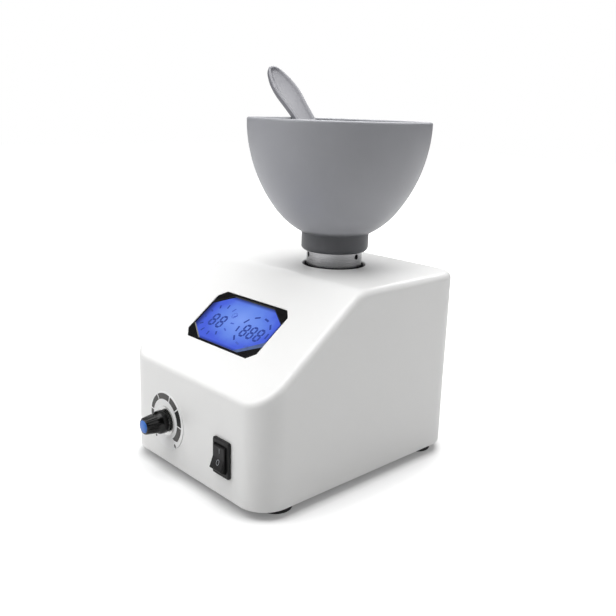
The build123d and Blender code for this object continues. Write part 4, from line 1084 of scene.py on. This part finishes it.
def buildDial():
    spot = frontPlace(dial["x"], dial["z"])
    hole, disc, thick = dial["hole"], dial["disc"], dial["thick"]
    outline = [(hole, 0.0), (disc, 0.0), (disc, thick - 0.1), (disc - 0.1, thick), (hole, thick)]
    mesh = turnedMesh("dialPlate", outline, 128)
    meshPiece("dialPlate", mesh, spot, whiteLabel, "housing", ["dial_plate"], 40)
    middleX, middleY = dial["ringMiddle"]
    low, high = thick + 0.002, thick + dial["ink"]
    grey, black = [], []
    breaks = dial["breaks"]
    for step in range(len(breaks) - 1):
        first = breaks[step] - (dial["breakWidth"] / 2 if step else 0)
        last = breaks[step + 1] + (dial["breakWidth"] / 2 if step < len(breaks) - 2 else 0)
        count = dial["steps"]
        angles = [first + (last - first) * here / count for here in range(count + 1)]
        outerArc = [ringSpot(dial["outer"], a, step == len(breaks) - 2) for a in angles]
        innerArc = [ringSpot(ringInner(a), a, step == len(breaks) - 2) for a in angles]
        strip = [(*point, height) for height in (low, high) for pair in zip(outerArc, innerArc) for point in pair]
        size = 2 * (count + 1)
        faces = []
        for here in range(count):
            a, b, c, d = 2 * here, 2 * here + 1, 2 * here + 3, 2 * here + 2
            faces += [[a, b, c, d], [size + a, size + d, size + c, size + b], [a, d, size + d, size + a],
                      [b, size + b, size + c, c]]
        faces += [[0, size, size + 1, 1], [size - 2, size - 1, 2 * size - 1, 2 * size - 2]]
        # the black list holds the segment painted as the knob's shadow
        (black if step == dial["darkSegment"] else grey).append((strip, faces))
    for x, y, turn, length in dial["ticks"]:
        outline = bar(0, 0, length, dial["tickThick"], False, 0)
        spin = radians(turn)
        outline = [(x + a * cos(spin) - b * sin(spin), y + a * sin(spin) + b * cos(spin)) for a, b in outline]
        grey.append(prism(outline, low, high))
    newPiece("dialRing", *joined(grey), spot, greyInk, "housing", (), "dial_print", 30)
    newPiece("dialRingDark", *joined(black), spot, knobShadowInk, "housing", (), "dial_print", 30)


knob = {
    "reach": 14.4,
    "skirt": 6.5,
    "skirtLow": 2.3,
    "skirtHigh": 6.3,
    "root": 5.5,
    "tip": 4.4,
    "flutes": 18,
    "fluteDepth": 0.28,
    "cap": 3.5,
    "capReach": 0.7,
    "capSeat": 1.4,  # how deep the cap sits in the grip
    "shaftHole": 3.02,
    "shaftDepth": 12.2,
    "bushRoom": 5.3,  # the skirt is hollow up to here
    "pointerTurn": -35.0,
}


def buildKnob():
    spot = frontPlace(dial["x"], dial["z"]) @ Matrix.Rotation(radians(-knob["pointerTurn"]), 4, "Z")
    low, high, reach = knob["skirtLow"], knob["skirtHigh"], knob["reach"]
    skirt, root, tip, cap = knob["skirt"], knob["root"], knob["tip"], knob["cap"]
    inside, bore, depth, room = skirt - 1.0, knob["shaftHole"], knob["shaftDepth"], knob["bushRoom"]
    outline = [(0.0, depth), (bore, depth), (bore, room), (inside, room), (inside, low), (skirt - 0.2, low),
               (skirt, low + 0.2), (skirt - 0.05, low + 1.2), (skirt - 0.12, high - 1.3), (skirt - 0.22, high - 0.7),
               (skirt - 0.45, high - 0.2), (skirt - 0.75, high + 0.1), (root + 0.12, high + 0.4)]
    grip = [high + 0.75 + (reach - 1.25 - high) * share for share in (0, 0.2, 0.4, 0.6, 0.8, 1.0)]
    outline += [(root - (root - tip) * (height - high) / (reach - high), height) for height in grip]
    seat = reach - knob["capSeat"]
    outline += [(tip - 0.08, reach - 0.2), (tip - 0.3, reach), (cap + 0.02, reach), (cap + 0.02, seat), (0.0, seat)]

    def fluted(radius, height, angle):
        if radius < tip - 0.1 or height < high + 0.5 or height > reach - 0.22:
            return radius
        start = smoothStep((height - high - 0.5) / 0.8)
        turn = (angle * knob["flutes"] / (2 * pi)) % 1.0
        groove = max(0.0, cos(2 * pi * turn)) ** 2
        distance = abs((angle - pi / 2 + pi) % (2 * pi) - pi)
        if distance < 0.11:
            return radius + 0.25 * start
        if distance < 0.2:
            groove = 0.0
        return radius - knob["fluteDepth"] * groove * start

    mesh = turnedMesh("speedKnob", outline, 216, fluted)
    piece = meshPiece("speedKnob", mesh, spot, blackKnob, "knob", ["speed_knob"], 35)
    proud = knob["capReach"]
    insert = [(0.0, seat), (cap, seat), (cap, reach + 0.1), (cap - 0.08, reach + 0.22),
              (cap - proud + 0.05, reach + proud - 0.08), (cap - proud - 0.12, reach + proud), (0.0, reach + proud)]
    mesh = turnedMesh("knobCap", insert, 64)
    meshPiece("knobCap", mesh, spot, bluePolystyrene, "knob", ["knob_cap"], 40)
    return piece


buildDial()
buildKnob()
print("dial and knob built")


# rocker switch
switch = {
    "x": openings["switch"]["x"],
    "z": openings["switch"]["z"],
    "width": 13.4,
    "height": 19.8,
    "proud": 1.7,
    "neck": (11.8, 18.2),
    "room": (9.9, 14.9),
    "radius": 7.2,
    "cornerAngle": 33.0,
    "footAngle": 28.0,
    "swing": 10.5,
    "rockerWidth": 9.4,
    "pivot": 0.2,
    "roomFloor": -7.3,
    "back": -13.5,
}


def buildSwitch():
    spot = frontPlace(switch["x"], switch["z"])
    rim = roundedOutline(switch["width"], switch["height"], 1.0, 4)
    top = roundedOutline(switch["width"] - 1.0, switch["height"] - 1.0, 0.7, 4)
    roomX, roomY = switch["room"]
    mouth = roundedOutline(roomX, roomY, 0.3, 4)
    neck = roundedOutline(*switch["neck"], 0.4, 4)
    proud, floor = switch["proud"], switch["roomFloor"]
    loops = [
        flatLoop(rim, 0.0), flatLoop(rim, proud - 0.5), flatLoop(top, proud), flatLoop(mouth, proud),
        flatLoop(mouth, floor), flatLoop(neck, floor), flatLoop(neck, 0.0),
    ]
    bezel = newPiece("switchBezel", *ringOfLoops(loops), spot, blackSatinAbs, "housing", (), "switch_plastic", 25)
    softEdges(bezel, 0.15, 2, 25)
    body = prism(neck, switch["back"], floor)
    newPiece("switchBody", *body, spot, blackSatinAbs, "housing", ["switch_housing"], "switch_plastic", 25)

    corner = radians(switch["cornerAngle"])
    radius = switch["radius"]
    up, out = radius * cos(corner), radius * sin(corner)
    valley = out - up * tan(radians(switch["swing"]))
    turns = [switch["cornerAngle"] - (switch["footAngle"] + switch["cornerAngle"]) * step / 8 for step in range(9)]
    outline = [(-up, out), (-0.3, valley + 0.03), (0.3, valley + 0.03), (up, out)]
    outline += [(radius * cos(radians(turn)), radius * sin(radians(turn))) for turn in turns[1:]]
    outline += [(-radius * cos(radians(turn)), radius * sin(radians(turn))) for turn in reversed(turns[1:])]
    half = switch["rockerWidth"] / 2
    points, faces = prism(outline, -half, half)
    # outline runs up the panel and out of it, its thickness across the panel
    points = [(across, upward, outward) for upward, outward, across in points]
    rest = spot @ place(0, 0, switch["pivot"]) @ Matrix.Rotation(radians(-switch["swing"]), 4, "X")
    rocker = newPiece("rockerButton", points, faces, rest, blackSatinAbs, "rocker", ["rocker_button"],
                      "switch_plastic", 20)
    softEdges(rocker, 0.35, 3, 20)

    # the marks lie on the rocker's two faces
    slope = radians(switch["swing"])
    upperFace = rest @ place(0.8, up * 0.64, valley + up * 0.64 * tan(slope)) @ Matrix.Rotation(slope, 4, "X")
    lowerFace = rest @ place(0.6, -up * 0.34, valley + up * 0.34 * tan(slope)) @ Matrix.Rotation(-slope, 4, "X")
    line = prism(roundedOutline(0.3, 2.5, 0.12, 3), 0.005, 0.04)
    newPiece("rockerMarkOn", *line, upperFace, paleInk, "rocker", (), "switch_plastic", 30)
    outer = [(1.15 * x, 1.5 * y) for x, y in circleOutline(1.0, 40)]
    inner = [(0.88 * x, 1.23 * y) for x, y in circleOutline(1.0, 40)]
    loops = [flatLoop(outer, 0.005), flatLoop(outer, 0.04), flatLoop(inner, 0.04), flatLoop(inner, 0.005)]
    newPiece("rockerMarkOff", *ringOfLoops(loops), lowerFace, paleInk, "rocker", (), "switch_plastic", 30)


buildSwitch()
print("switch built")


# rubber feet, one turned shape set on four points by a node tree
feet = {"x": 47.4, "front": -54.6, "back": 58.1, "radius": 9.2, "hole": 1.7, "recess": 2.4, "top": 5.4}


def footTree():
    tree = bpy.data.node_groups.new("feetOnPoints", "GeometryNodeTree")
    for name, kind in (("Half Width", "NodeSocketFloat"), ("Front", "NodeSocketFloat"), ("Back", "NodeSocketFloat"),
                       ("Foot", "NodeSocketObject"), ("Rubber", "NodeSocketMaterial")):
        tree.interface.new_socket(name, in_out="INPUT", socket_type=kind)
    tree.interface.new_socket("Geometry", in_out="OUTPUT", socket_type="NodeSocketGeometry")
    given = addNode(tree, "NodeGroupInput").outputs
    index = addNode(tree, "GeometryNodeInputIndex").outputs[0]
    side = addNode(tree, "ShaderNodeMath", {1: 2.0}, {0: index}, operation="MODULO").outputs[0]
    row = addNode(tree, "ShaderNodeMath", {1: 1.5}, {0: index}, operation="GREATER_THAN").outputs[0]
    left = addNode(tree, "ShaderNodeMath", {1: -1.0}, {0: given["Half Width"]}, operation="MULTIPLY").outputs[0]
    x = addNode(
        tree, "ShaderNodeMapRange", links={"Value": side, "To Min": left, "To Max": given["Half Width"]}
    ).outputs[0]
    y = addNode(
        tree, "ShaderNodeMapRange", links={"Value": row, "To Min": given["Front"], "To Max": given["Back"]}
    ).outputs[0]
    spot = addNode(tree, "ShaderNodeCombineXYZ", links={0: x, 1: y}).outputs[0]
    spots = addNode(tree, "GeometryNodePoints", {"Count": 4}, {"Position": spot}).outputs[0]
    shape = addNode(tree, "GeometryNodeObjectInfo", links={"Object": given["Foot"]}).outputs["Geometry"]
    placed = addNode(tree, "GeometryNodeInstanceOnPoints", links={"Points": spots, "Instance": shape}).outputs[0]
    real = addNode(tree, "GeometryNodeRealizeInstances", links={0: placed}).outputs[0]
    done = addNode(tree, "GeometryNodeSetMaterial", links={"Geometry": real, "Material": given["Rubber"]}).outputs[0]
    addNode(tree, "NodeGroupOutput", links={0: done})
    return tree


def buildFeet():
    hole, radius, top, recess = feet["hole"], feet["radius"], feet["top"], feet["recess"]
    outline = [(hole, recess), (3.6, recess), (3.6, 0.15), (3.75, 0.0), (radius - 0.8, 0.0), (radius - 0.5, 0.12),
               (radius - 0.35, 0.45), (radius - 0.1, top - 0.5), (radius - 0.2, top - 0.15), (radius - 0.4, top),
               (hole, top)]
    model = bpy.data.objects.new("footModel", turnedMesh("footModel", outline, 64))
    bpy.context.collection.objects.link(model)
    mesh = treeMesh("rubberFeet", footTree(), {
        "Half Width": feet["x"], "Front": feet["front"], "Back": feet["back"], "Foot": model, "Rubber": blackRubber,
    })
    bpy.data.objects.remove(model)
    names = ["rubber_foot_" + corner for corner in ("front_left", "front_right", "rear_left", "rear_right")]
    meshPiece("rubberFeet", mesh, place(0, 0, 0), blackRubber, "housing", names, 40)


buildFeet()
print("feet built")


# the other CAD pieces keep their shape and get their finish
def finishNodes():
    slots = {part["node"]: part["material_slot"] for part in record["subparts"]}
    for name, piece in frame["nodes"].items():
        material = cadFinishes.get(slots.get(name))
        if material and piece.type == "MESH":
            for slot in piece.material_slots:
                slot.material = material


finishNodes()
print("finishes set")


# floor, world and lamps
studio = {
    "floorSize": 6.0,
    "floorColour": "c8c8c8",
    # the floor's own white to the eye, held low under and next to the housing as a painted shadow: millimetres outside
    # the housing's footprint, strength
    "glow": [(-14, 0.10), (-2, 0.17), (7, 0.46), (20, 0.60), (60, 0.8), (120, 1.0)],
    "shadowFadeCorner": 20.0,  # the steps bend round the footprint's corners with this radius at the housing
    "mirrored": 0.5,  # how much of that white glossy things mirror
    "ambient": 0.03,
    "aim": (0, 0, 0.1),
    "lamps": {
        # name: (direction from the front toward the right, height angle, distance, width, watts)
        "overhead": (180.0, 86.0, 1.4, 1.2, 13.9),
        "leftSoft": (-35.0, 35.0, 1.4, 0.9, 6.6),
        "rightSoft": (125.0, 35.0, 1.4, 0.9, 4.7),
        "rearLeftSoft": (-145.0, 45.0, 1.4, 0.9, 12.8),
        "frontHigh": (-10.0, 60.0, 1.4, 0.9, 7.8),
    },
}


def buildStudio():
    size = studio["floorSize"] / 2
    mesh = bpy.data.meshes.new("studioFloor")
    mesh.from_pydata([(-size, -size, 0), (size, -size, 0), (size, size, 0), (-size, size, 0)], [], [[0, 1, 2, 3]])
    floor = bpy.data.objects.new("studioFloor", mesh)
    bpy.context.collection.objects.link(floor)
    material, tree = emptyMaterial("paleSweep")
    path = addNode(tree, "ShaderNodeLightPath").outputs
    seen = addNode(
        tree, "ShaderNodeMath", {1: studio["mirrored"]}, {0: path["Is Glossy Ray"], 2: path["Is Camera Ray"]},
        operation="MULTIPLY_ADD",
    )
    seen = addNode(
        tree, "ShaderNodeMath", links={0: seen.outputs[0], 1: path["Is Transmission Ray"]}, operation="ADD",
        use_clamp=True,
    )
    # the floor's white glow is lowered under and near the housing's footprint: painted shadow round the housing
    where = addNode(tree, "ShaderNodeTexCoord").outputs["Object"]
    local = addNode(tree, "ShaderNodeVectorMath", {1: bodyCentre}, {0: where}, operation="SUBTRACT").outputs[0]
    local = addNode(tree, "ShaderNodeVectorMath", links={0: local}, operation="ABSOLUTE").outputs[0]
    corner = studio["shadowFadeCorner"]
    core = ((housing["halfWidth"] - corner) / 1000, (housing["halfDepth"] - corner) / 1000, 0)
    local = addNode(tree, "ShaderNodeVectorMath", {1: core}, {0: local}, operation="SUBTRACT").outputs[0]
    local = addNode(tree, "ShaderNodeVectorMath", {1: (0, 0, 0)}, {0: local}, operation="MAXIMUM").outputs[0]
    reach = addNode(tree, "ShaderNodeVectorMath", links={0: local}, operation="LENGTH").outputs["Value"]
    first, last = studio["glow"][0][0], studio["glow"][-1][0]
    share = addNode(
        tree, "ShaderNodeMapRange", {"From Min": (first + corner) / 1000, "From Max": (last + corner) / 1000},
        {"Value": reach},
    ).outputs[0]
    paintedShadowRamp = addNode(tree, "ShaderNodeValToRGB", links={0: share})
    paintedShadowRamp.color_ramp.interpolation = "EASE"
    for step, (reachHere, strength) in enumerate(studio["glow"]):
        spot = (reachHere - first) / (last - first)
        elements = paintedShadowRamp.color_ramp.elements
        stop = elements[0] if step == 0 else elements[-1] if step == len(studio["glow"]) - 1 else elements.new(spot)
        stop.color = (strength, strength, strength, 1.0)
    white = paintedShadowRamp.outputs[0]
    glow = addNode(tree, "ShaderNodeMath", links={0: seen.outputs[0], 1: white}, operation="MULTIPLY")
    surface = addNode(
        tree, "ShaderNodeBsdfPrincipled",
        {"Base Color": colour(studio["floorColour"]), "Roughness": 0.75, "Emission Color": (1, 1, 1, 1)},
        {"Emission Strength": glow.outputs[0]},
    )
    addNode(tree, "ShaderNodeOutputMaterial", links={"Surface": surface.outputs[0]})
    mesh.materials.append(material)

    world = bpy.data.worlds.new("studioWorld")
    bpy.context.scene.world = world
    world.use_nodes = True
    tree = world.node_tree
    tree.nodes.clear()
    path = addNode(tree, "ShaderNodeLightPath").outputs
    seen = addNode(
        tree, "ShaderNodeMath", links={0: path["Is Camera Ray"], 1: path["Is Transmission Ray"]}, operation="ADD",
        use_clamp=True,
    )
    strength = addNode(
        tree, "ShaderNodeMapRange", {"To Min": studio["ambient"], "To Max": 1.0}, {"Value": seen.outputs[0]}
    )
    sky = addNode(tree, "ShaderNodeBackground", {"Color": (1, 1, 1, 1)}, {"Strength": strength.outputs[0]})
    addNode(tree, "ShaderNodeOutputWorld", links={"Surface": sky.outputs[0]})

    aim = Vector(studio["aim"])
    for name, (turn, rise, distance, width, watts) in studio["lamps"].items():
        turn, rise = radians(turn), radians(rise)
        spot = aim + Vector((sin(turn) * cos(rise), -cos(turn) * cos(rise), sin(rise))) * distance
        data = bpy.data.lights.new(name, "AREA")
        data.energy = watts
        data.size = width
        lamp = bpy.data.objects.new(name, data)
        bpy.context.collection.objects.link(lamp)
        lamp.location = spot
        lamp.rotation_euler = (aim - spot).to_track_quat("-Z", "Y").to_euler()
    bpy.context.scene.view_settings.view_transform = "Standard"


buildStudio()
print("studio built")
